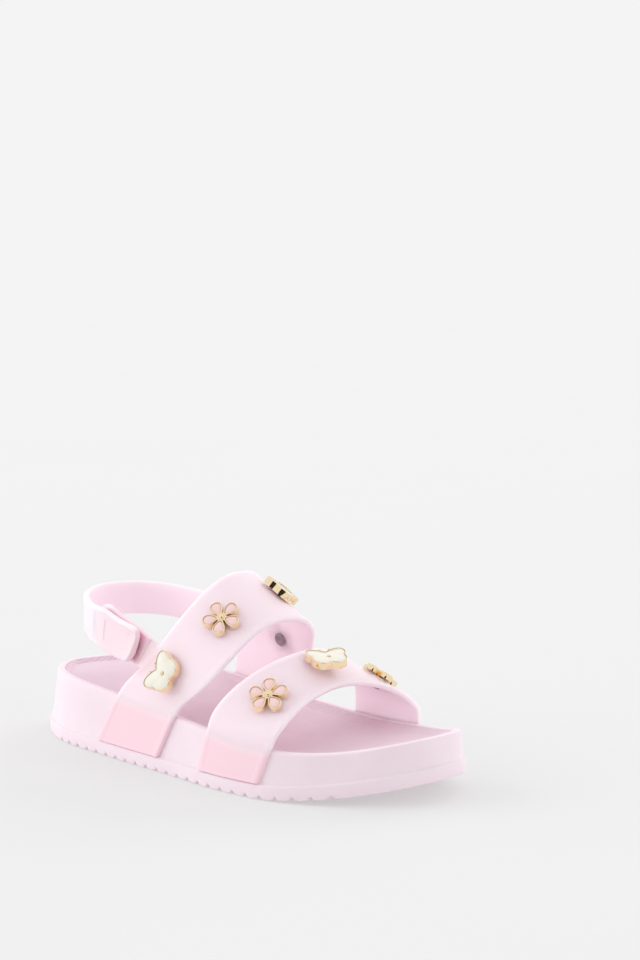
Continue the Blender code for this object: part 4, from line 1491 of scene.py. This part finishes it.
@dataclass(frozen=True)
class HeelStrap(Strip):
    """The strap round the heel, with a tab on the outer side whose panel lies inside two raised borders."""

    turns: tuple[float, float] = (143, 162)
    borders: tuple[float, float] = (1.1 * MM, 2.7 * MM)
    starts: tuple[float, float] = (-8.5 * MM, 1.8 * MM)
    step: float = 0.3 * MM
    ramp: float = 0.7 * MM
    run: float = 0.6 * MM
    crown: float = 0.04
    stack: float = 1.9 * MM

    def ribbon(self) -> Ribbon:
        """Gives the strap's outer face, from inside the rear band round the heel to the tab's end."""
        closure = ClosureStrip()
        under = closure.ribbon()
        lows, highs = self.root_edges(self.turns)
        self.follow(lows, highs, STRAP_PATH)
        for row, below, width in TAB_PATH:
            for edges, side in ((lows, -0.5), (highs, 0.5)):
                add = (side * width - below) * self.width
                edges.append(under.point(row * closure.span, 0.5, add, self.stack + self.thickness))
        inside = (LAST.x(STRAP_PATH[0][0]), 0.0, lows[-1][2])
        return Ribbon(curve_through(lows, self.span), curve_through(highs, self.span), inside)

    @property
    def tab_row(self) -> float:
        """Gives the ribbon's row where the tab's panel begins."""
        return (2 + len(STRAP_PATH)) * self.span

    def build(self) -> bpy.types.Object:
        """Builds the strap's wall.

        Returns:
            The strap.
        """
        ribbon = self.ribbon()
        end = ribbon.point(ribbon.rows, 0.5)
        last = float(np.linalg.norm(end - ribbon.point(ribbon.rows - 1, 0.5)))
        near = [self.corner * share for share in (0.01, 0.04, 0.1, 0.2, 0.35, 0.55, 0.8)]
        stop = ribbon.rows - self.corner / last
        rows = {float(row) for row in range(ribbon.rows) if row < stop}
        rows |= {ribbon.rows - d / last for d in near}
        grid = np.arange(0, ribbon.rows + 1)
        middles = np.array([ribbon.point(row, 0.5) for row in grid])
        run = np.concatenate([[0.0], np.cumsum(np.linalg.norm(np.diff(middles, axis=0), axis=1))])
        tab_start = float(np.interp(self.tab_row, grid, run))
        for border, start in zip(self.borders, self.starts):
            for share in (0.0, 0.25, 0.5, 0.75, 1.0):
                for place in (tab_start + start + share * self.ramp, run[-1] - border - share * self.ramp):
                    rows.add(float(np.interp(place, run, grid)))

        def section(row: float) -> list[tuple[float, float, float]]:
            place = float(np.interp(row, grid, run))
            left = float(run[-1]) - place
            cut = self.end_inset(left, self.corner)
            steps = []
            for border, start in zip(self.borders, self.starts):
                inner_cut = self.end_inset(left - border, self.corner - border)
                distance = max(border, border + inner_cut - cut)
                fades = np.clip([(place - tab_start - start) / self.ramp, (left - border) / self.ramp], 0, 1)
                fade = float(fades.min())
                steps.append((distance, self.step * fade * fade * (3 - 2 * fade)))
            wide = float(np.linalg.norm(ribbon.point(row, 1) - ribbon.point(row, 0)))
            room = (0.5 - 1.5 * self.crown) * wide - cut
            squeeze = min(1.0, room / (steps[-1][0] + self.run))
            steps = [(distance * squeeze, depth) for distance, depth in steps]
            return bordered_section(
                self.thickness, self.edge_round, steps, cut, self.run * squeeze, self.crown
            )

        return ribbon.solid("heel_strap_form", sorted(rows), section)


@dataclass(frozen=True)
class RearUpper:
    """The rear band, moulded whole with the heel strap and the closure strip."""

    def build(self) -> bpy.types.Object:
        """Builds the three walls and joins them into one.

        Returns:
            The joined upper.
        """
        band = REAR_BAND.build()
        forms = [("UNION", HeelStrap().build()), ("UNION", ClosureStrip().build())]
        return combined(band, forms, 50)

    def dress(self, finishes: Finishes) -> None:
        """Builds the upper in jelly."""
        upper = self.build()
        closure = ClosureStrip()
        ribbon = closure.ribbon()
        rows = np.arange(1.5 * closure.span, 3.4 * closure.span)
        mark_backed(upper, np.array([ribbon.point(row, 0.5) for row in rows]))
        finish_piece(upper, finishes.jelly, ["rear_upper"])


@dataclass(frozen=True)
class Pad:
    """One of the hook-and-loop pads between the tab and the closure strip."""

    node: str
    rows: tuple[float, float]
    low: float
    high: float
    margin: float = 1.7 * MM
    corner: float = 0.3 * MM
    end_fade: float = 0.4
    inner_rows: int = 38

    def dress(self, finishes: Finishes) -> None:
        """Builds the pad in fabric, with soft edges."""
        closure = ClosureStrip()
        ribbon = closure.ribbon()
        half = closure.width / 2 - self.margin
        middle = -TAB_PATH[1][1] * closure.width
        start, end = (row * closure.span for row in self.rows)
        ease = 0.35
        inner_rows = np.linspace(start + 2 * ease, end - 2 * ease, self.inner_rows)
        rows = np.concatenate([[start, start + ease], inner_rows, [end - ease, end]])

        def section(row: float) -> list[tuple[float, float, float]]:
            edge = min(row - start, end - row) / (2 * ease)
            top = self.high - self.corner * (1 - min(edge, 1.0)) ** 2
            places = [(0.5, middle - half, self.low), (0.5, middle + half, self.low)]
            for turn in np.radians([0, 30, 60, 90]):
                draw = self.corner * (1 - math.cos(turn))
                places.append((0.5, middle + half - draw, top - self.corner * (1 - math.sin(turn))))
            return places + [(0.5, 2 * middle - add, out) for _, add, out in places[:1:-1]]

        pad = ribbon.solid(f"fabric_{self.node}", rows, section)
        # the pad's colour fades to a pale pink over its first rows
        end_fade = 1 - np.clip((rows - start) / (self.end_fade * closure.span), 0, 1)
        add_mark(pad, FADED_END, np.repeat(end_fade, len(section(start))))
        finish_piece(pad, finishes.fabric, [self.node])


LOOP_PAD = Pad("loop_pad", (1.35, 3.2), -0.1 * MM, 0.45 * MM)
HOOK_PAD = Pad("hook_pad", (1.75, 2.8), 1.1 * MM, 1.6 * MM)


# The ornaments


@dataclass(frozen=True)
class Seat:
    """A flat place on a band, under an ornament.

    It has its degrees round the arch, its share of the width from the back edge, the degrees by which the
    ornament is turned, and those by which the soft band lets it lean back and tip up the arch.
    """

    band: Band
    turn: float
    share: float
    degrees: float
    lean: float = 0.0
    tip: float = 0.0
    gap: float = 0.3 * MM

    def place(self, reach: float, inner: bool = False) -> Place:
        """Gives the seat as a function from its own coordinates: side, up and out of the face.

        Args:
            reach: How far round the middle the face has to be cleared.
            inner: Whether the seat lies on the band's inner face.

        Returns:
            The function.
        """
        ribbon = self.band.ribbon()
        row = self.band.row(self.turn)
        per_ten = 10 / self.band.turn_step
        middle = ribbon.point(row, self.share)
        along = ribbon.point(row + per_ten / 2, self.share) - ribbon.point(row - per_ten / 2, self.share)
        across = ribbon.point(row, self.share, 1 * MM) - ribbon.point(row, self.share, -1 * MM)
        out = np.cross(along, across)
        out /= np.linalg.norm(out)
        if (ribbon.point(row, self.share, 0, 1 * MM) - middle) @ out < 0:
            out = -out
        up = -across / np.linalg.norm(across)
        along /= np.linalg.norm(along)
        out = out + math.tan(math.radians(self.lean)) * up + math.tan(math.radians(self.tip)) * along
        out /= np.linalg.norm(out)
        up -= (up @ out) * out
        up /= np.linalg.norm(up)
        side = np.cross(up, out)
        angle = math.radians(self.degrees)
        cosine, sine = math.cos(angle), math.sin(angle)
        side, up = side * cosine + up * sine, up * cosine - side * sine
        heights = []
        width = float(np.linalg.norm(ribbon.point(row, 1) - ribbon.point(row, 0)))
        spread, share_steps = 3 * per_ten, 21
        for near_row in np.arange(row - spread, row + spread, per_ten / 4):
            for near_share in np.linspace(0, 1, share_steps):
                in_panel = min(near_share, 1 - near_share) * width > self.band.border + self.band.step
                outer_level = -self.band.step if in_panel else 0.0
                level = -self.band.thickness if inner else outer_level
                reached = ribbon.point(near_row, near_share, 0, level) - middle
                if np.hypot(reached @ side, reached @ up) < reach:
                    heights.append(reached @ out)
        height = min(heights) - self.gap if inner else max(heights) + self.gap
        base = middle + out * height
        return lambda point: base + side * point[0] + up * point[1] + out * point[2]


def stacked(
    name: str, layers: Sequence[tuple[np.ndarray, float]], place: Place, sharp: float = 50
) -> bpy.types.Object:
    """Stacks outlines of equal count into one solid on a seat.

    Args:
        name: The object's name.
        layers: The outlines, each with its height over the seat.
        place: The seat's function.
        sharp: The angle in degrees over which an edge stays sharp.

    Returns:
        The solid.
    """
    rings = np.array([[place((x, y, z)) for x, y in outline] for outline, z in layers])
    return lofted(name, rings, sharp)


def rounded_layers(
    outline: np.ndarray, low: float, high: float, radius: float
) -> list[tuple[np.ndarray, float]]:
    """Gives a plate's layers with a rounded upper edge.

    Args:
        outline: The plate's outline.
        low: Its lower face's height.
        high: Its upper face's height.
        radius: The edge's radius.

    Returns:
        The layers, from the lowest up.
    """
    layers = [(outline, low)]
    for turn in np.radians([0, 30, 60, 90]):
        shrunk = offset_outline(outline, -radius * (1 - math.cos(turn)))
        layers.append((shrunk, high - radius * (1 - math.sin(turn))))
    return layers


@dataclass(frozen=True)
class Ornament:
    """A cast and gilded ornament with enamel poured into its pockets, and a rivet behind it."""

    node: str
    seat: Seat
    thickness: float = 2.5 * MM
    rim: float = 0.4 * MM
    edge: float = 0.22 * MM
    pocket: float = 0.7 * MM
    enamel: float = 0.5 * MM
    play: float = 0.08 * MM
    rivet_radius: float = 2.3 * MM
    rivet_thickness: float = 0.6 * MM

    def cut(self, name: str, outline: np.ndarray, place: Place) -> tuple[str, bpy.types.Object]:
        """Gives one pocket's form for cutting."""
        layers = [(outline, self.thickness - self.pocket), (outline, self.thickness + self.pocket)]
        return "DIFFERENCE", stacked(name, layers, place)

    def filling(self, name: str, outline: np.ndarray, place: Place) -> bpy.types.Object:
        """Gives one pocket's enamel, domed a little by its surface tension.

        Args:
            name: The piece's name.
            outline: The filling's outline.
            place: The seat's function.

        Returns:
            The filling.
        """
        floor = self.thickness - self.pocket + self.play
        top = floor + self.enamel
        middle = outline.mean(0)
        layers = [(outline, floor), (outline, top - 0.08 * MM)]
        for share in (0.94, 0.8, 0.55, 0.25, 0.03):
            rise = 0.18 * MM * (1 - share**2) - 0.03 * MM * share
            layers.append((middle + (outline - middle) * share, top + rise))
        return stacked(name, layers, place, 60)

    def add_rivet(self, finishes: Finishes) -> None:
        """Builds the rivet's disc inside the band, with a dimple where it was set."""
        place = replace(self.seat, lean=0.0, tip=0.0).place(self.rivet_radius, inner=True)
        r, t = self.rivet_radius, self.rivet_thickness
        rim = ((1.0, 0.0), (1.0, -0.6), (0.9, -0.95), (0.75, -1.0))
        profile = (*rim, (0.45, -0.95), (0.34, -0.6), (0.04, -0.5))
        layers = [(circle(r * share, 28), depth * t) for share, depth in profile]
        disc = stacked(f"{self.node}_rivet_disc", layers, place)
        finish_piece(disc, finishes.rivet, [f"{self.node}_rivet"])


@dataclass(frozen=True)
class Flower(Ornament):
    """A five-petalled flower with a dome in its middle."""

    span: float = 12.8 * MM
    thickness: float = 1.9 * MM
    petals: int = 5
    pocket_tip: float = 0.075
    valley: float = 0.105
    heart: float = 0.085

    def petal(self) -> np.ndarray:
        """Gives the petal that points to the side, from one end round its tip, without the inner end."""
        half = np.array(PETAL) * self.span
        return curve_through([*(half * [1, -1]), [0.5 * self.span, 0.0], *half[::-1]], 3)

    def outline(self) -> np.ndarray:
        """Gives the flower's outline: a valley and a petal, petal after petal."""
        half_turn = math.pi / self.petals
        valley = self.valley * self.span * np.array([[math.cos(half_turn), -math.sin(half_turn)]])
        petal = np.vstack([valley, self.petal()])
        return np.vstack([turned(petal, 2 * half_turn * k) for k in range(self.petals)])

    def pocket_outline(self, inset: float) -> np.ndarray:
        """Gives a petal's pocket: a teardrop with its tip toward the middle."""
        return offset_outline(np.vstack([[self.pocket_tip * self.span, 0.0], self.petal()]), -inset)

    def dress(self, finishes: Finishes) -> None:
        """Builds the gilt body, the enamel petals and the rivet."""
        place = self.seat.place(self.span / 2)
        layers = rounded_layers(self.outline(), 0.0, self.thickness, self.edge)
        body = stacked(f"{self.node}_gilt", layers, place)
        forms = []
        for k in range(self.petals):
            angle = 2 * math.pi * k / self.petals
            pocket = turned(self.pocket_outline(self.rim), angle)
            forms.append(self.cut(f"{self.node}_pocket_{k + 1}", pocket, place))
            petal = self.filling(
                f"{self.node}_enamel_{k + 1}", turned(self.pocket_outline(self.rim + self.play), angle), place
            )
            finish_piece(petal, finishes.pink, [f"{self.node}_petal_{k + 1}"])
        radius = self.heart * self.span
        dome = [(circle(radius, 24), self.thickness / 2)]
        for turn in np.radians([0, 20, 40, 60, 78]):
            dome.append(
                (circle(radius * math.cos(turn), 24), self.thickness + radius * (0.1 + 0.62 * math.sin(turn)))
            )
        forms.append(("UNION", stacked(f"{self.node}_dome", dome, place)))
        finish_piece(combined(body, forms, 40), finishes.gilt, [self.node])
        self.add_rivet(finishes)


@dataclass(frozen=True)
class Butterfly(Ornament):
    """A butterfly with one enamel filling round a small stud."""

    span: float = 13.6 * MM
    rim: float = 0.3 * MM
    stud: float = 0.6 * MM
    feelers: tuple[tuple[float, float], ...] = ((0.115, 0.335), (-0.115, 0.335))
    feeler_radius: float = 0.42 * MM

    def outline(self) -> np.ndarray:
        """Gives the butterfly's outline, counter-clockwise and smooth."""
        right = np.array(WING) * self.span
        left = right[1:-1] * [-1, 1]
        return curve_through([*right[::-1], *left], 4, closed=True)

    def dress(self, finishes: Finishes) -> None:
        """Builds the gilt body with its stud, the enamel and the rivet."""
        place = self.seat.place(self.span / 2)
        outline = self.outline()
        body = stacked(f"{self.node}_gilt", rounded_layers(outline, 0.0, self.thickness, self.edge), place)
        stud = [(circle(self.stud, 16), self.thickness / 2)]
        for turn in np.radians([0, 30, 60, 85]):
            height = self.thickness - 0.1 * MM + self.stud * 0.8 * math.sin(turn)
            stud.append((circle(self.stud * math.cos(turn), 16), height))
        forms = [
            self.cut(f"{self.node}_pocket", offset_outline(outline, -self.rim), place),
            ("UNION", stacked(f"{self.node}_stud", stud, place)),
        ]
        for k, feeler in enumerate(self.feelers):
            middle = np.array(feeler) * self.span
            r = self.feeler_radius
            bead = [
                (middle + circle(r * math.cos(turn), 12), self.thickness - 0.5 * r + r * math.sin(turn))
                for turn in np.radians([-60, -30, 0, 30, 60, 85])
            ]
            forms.append(("UNION", stacked(f"{self.node}_feeler_{k + 1}", bead, place)))
        finish_piece(combined(body, forms, 40), finishes.gilt, [self.node])
        floor = self.thickness - self.pocket + self.play
        fill = offset_outline(outline, -self.rim - self.play)
        top = floor + self.enamel
        layers = [(fill, floor), (fill, top - 0.06 * MM), (offset_outline(fill, -0.08 * MM), top)]
        face = stacked(f"{self.node}_pearl", layers, place)
        hole = circle(self.stud + self.play, 16)
        well = stacked(f"{self.node}_well", [(hole, self.thickness / 2), (hole, 2 * self.thickness)], place)
        face = combined(face, [("DIFFERENCE", well)], 50)
        finish_piece(face, finishes.ivory, [f"{self.node}_enamel"])
        self.add_rivet(finishes)


@dataclass(frozen=True)
class Ornaments:
    """All the ornaments, from the outer side of each band to its inner one."""

    seats: tuple[tuple[str, Charm, Seat], ...] = (
        ("rear_butterfly_1", Charm.BUTTERFLY, Seat(REAR_BAND, 17, 0.47, -4, tip=12)),
        ("rear_flower_1", Charm.FLOWER, Seat(REAR_BAND, 57, 0.53, 4)),
        ("rear_butterfly_2", Charm.BUTTERFLY, Seat(REAR_BAND, 111, 0.50, 0)),
        ("rear_flower_2", Charm.FLOWER, Seat(REAR_BAND, 157, 0.56, 12)),
        ("front_flower_1", Charm.FLOWER, Seat(FRONT_BAND, 39, 0.54, 33)),
        ("front_butterfly_1", Charm.BUTTERFLY, Seat(FRONT_BAND, 86, 0.62, -30, lean=22, tip=-2)),
        ("front_flower_2", Charm.FLOWER, Seat(FRONT_BAND, 142, 0.52, 20)),
    )

    def dress(self, finishes: Finishes) -> None:
        """Builds each ornament on its seat."""
        kinds = {Charm.FLOWER: Flower, Charm.BUTTERFLY: Butterfly}
        for node, charm, seat in self.seats:
            kinds[charm](node=node, seat=seat).dress(finishes)


# The studio


@dataclass(frozen=True)
class PhotoCamera:
    """The photograph's viewpoint, as fitted to the sole's length, its tread and its lip."""

    azimuth: float = 43.39
    elevation: float = 7.11
    roll: float = -0.59
    distance: float = 747.7 * MM
    focal_px: float = 2257.8
    target_px: tuple[float, float] = (240.7, 704.0)
    target: tuple[float, float, float] = (0.0, 2.25 * MM, 18.0 * MM)
    image_px: tuple[int, int] = (640, 960)
    sensor: float = 36.0

    def build(self) -> None:
        """Makes the camera and turns it to the sandal."""
        azimuth, elevation, roll = (math.radians(a) for a in (self.azimuth, self.elevation, self.roll))
        right0 = np.array([math.cos(azimuth), math.sin(azimuth), 0.0])
        back = np.array(
            [
                math.sin(azimuth) * math.cos(elevation),
                -math.cos(azimuth) * math.cos(elevation),
                math.sin(elevation),
            ]
        )
        up0 = np.cross(back, right0)
        per_px = self.distance / self.focal_px
        aside = (self.target_px[0] - self.image_px[0] / 2) * per_px
        below = (self.target_px[1] - self.image_px[1] / 2) * per_px
        eye = np.array(self.target) - right0 * aside + up0 * below + back * self.distance
        right = right0 * math.cos(roll) - up0 * math.sin(roll)
        up = right0 * math.sin(roll) + up0 * math.cos(roll)
        data = bpy.data.cameras.new("photo_camera")
        data.sensor_fit = "AUTO"
        data.sensor_width = self.sensor
        data.lens = self.focal_px / max(self.image_px) * self.sensor
        camera = bpy.data.objects.new("photo_camera", data)
        camera.matrix_world = Matrix(
            [[right[k], up[k], back[k], eye[k]] for k in range(3)] + [[0.0, 0.0, 0.0, 1.0]]
        )
        bpy.context.scene.collection.objects.link(camera)
        bpy.context.scene.camera = camera


@dataclass(frozen=True)
class SoftSun:
    """A broad light from one side, as strong everywhere: a sun with a very wide disc, unseen in the gloss."""

    name: str
    towards: tuple[float, float, float]
    strength: float
    spread: float

    def build(self) -> None:
        """Makes the lamp."""
        data = bpy.data.lights.new(self.name, "SUN")
        data.energy = self.strength
        data.angle = math.radians(self.spread)
        lamp = bpy.data.objects.new(self.name, data)
        lamp.visible_glossy = False
        away = np.array(self.towards) / np.linalg.norm(self.towards)
        side = np.cross((0.0, 0.0, 1.0), away)
        side /= np.linalg.norm(side)
        up = np.cross(away, side)
        rows = [[side[k], up[k], away[k], 0.0] for k in range(3)]
        lamp.matrix_world = Matrix(rows + [[0.0, 0.0, 0.0, 1.0]])
        bpy.context.scene.collection.objects.link(lamp)


@dataclass(frozen=True)
class DarkFlag:
    """A round dark card in front of the sandal, which gives polished metal something dark to mirror."""

    azimuth: float = 47.0
    elevation: float = 14.0
    distance: float = 3.0
    radius: float = 1.35
    colour: str = "#2A2724"
    shade: str = "#1C1A18"
    felt: float = 25 * MM

    def build(self) -> None:
        """Makes the card, unseen by the camera itself."""
        azimuth, elevation = math.radians(self.azimuth), math.radians(self.elevation)
        away = np.array(
            [
                math.sin(azimuth) * math.cos(elevation),
                -math.cos(azimuth) * math.cos(elevation),
                math.sin(elevation),
            ]
        )
        side = np.array([math.cos(azimuth), math.sin(azimuth), 0.0])
        up = np.cross(away, side)
        disc = circle(self.radius, 48)
        points = np.array([away * self.distance + side * x + up * y for x, y in disc])
        card = mesh_object("dark_flag", points, [tuple(range(len(points)))], 180)
        material, tree, shader = blank_material("black_felt")
        tone = clouded_colour(tree, self.felt, self.colour, self.shade)
        plug(tree, shader, {"Base Color": tone, "Roughness": 1.0})
        card.data.materials.append(material)
        card.visible_camera = False


@dataclass(frozen=True)
class Studio:
    """An endless opal acrylic sheet, lit from below too, and an even sky: they meet without a line."""

    floor_colour: str = "#B3B3B3"
    floor_shade: str = "#B1B1B1"
    haze: float = 1 / 6
    glow: float = 0.362
    sky: float = 0.905
    reach: float = 60.0
    suns: tuple[SoftSun, ...] = (
        SoftSun("soft_key_from_the_heel", (-0.70, -0.50, 0.313), 1.4, 60.0),
        SoftSun("soft_side_from_the_toe", (1.0, 0.1, 0.366), 0.45, 50.0),
        SoftSun("soft_back_from_the_inner_side", (-0.15, 1.0, 0.368), 1.0, 50.0),
    )

    def build(self) -> None:
        """Makes the floor, the sky, the lamps and the card."""
        corners = np.array([(-1.0, -1.0, 0.0), (1.0, -1.0, 0.0), (1.0, 1.0, 0.0), (-1.0, 1.0, 0.0)])
        floor = mesh_object("pale_floor", corners * self.reach, [(0, 1, 2, 3)], 180)
        material, tree, shader = blank_material("lit_opal_acrylic")
        inputs = {
            "Base Color": clouded_colour(tree, self.haze, self.floor_colour, self.floor_shade),
            "Roughness": 1.0,
            "Specular IOR Level": 0.0,
            "Emission Color": (1.0, 1.0, 1.0, 1.0),
            "Emission Strength": self.glow,
        }
        plug(tree, shader, inputs)
        floor.data.materials.append(material)
        world = bpy.data.worlds.new("studio_sky")
        bpy.context.scene.world = world
        world.use_nodes = True
        background = world.node_tree.nodes["Background"]
        background.inputs["Color"].default_value = (1.0, 1.0, 1.0, 1.0)
        background.inputs["Strength"].default_value = self.sky
        for sun in self.suns:
            sun.build()
        DarkFlag().build()
        bpy.context.scene.view_settings.view_transform = "Standard"


def main() -> None:
    """Builds the sandal piece by piece and the studio round it."""
    logging.basicConfig(level=logging.INFO, format="%(name)s: %(message)s")
    PhotoCamera().build()
    Studio().build()
    finishes = Finishes()
    insole = Insole()
    Outsole().dress(finishes)
    Footbed().dress(finishes, insole.thickness)
    insole.dress(finishes)
    RearUpper().dress(finishes)
    FRONT_BAND.dress(finishes)
    LOOP_PAD.dress(finishes)
    HOOK_PAD.dress(finishes)
    Ornaments().dress(finishes)


if __name__ == "__main__":
    main()
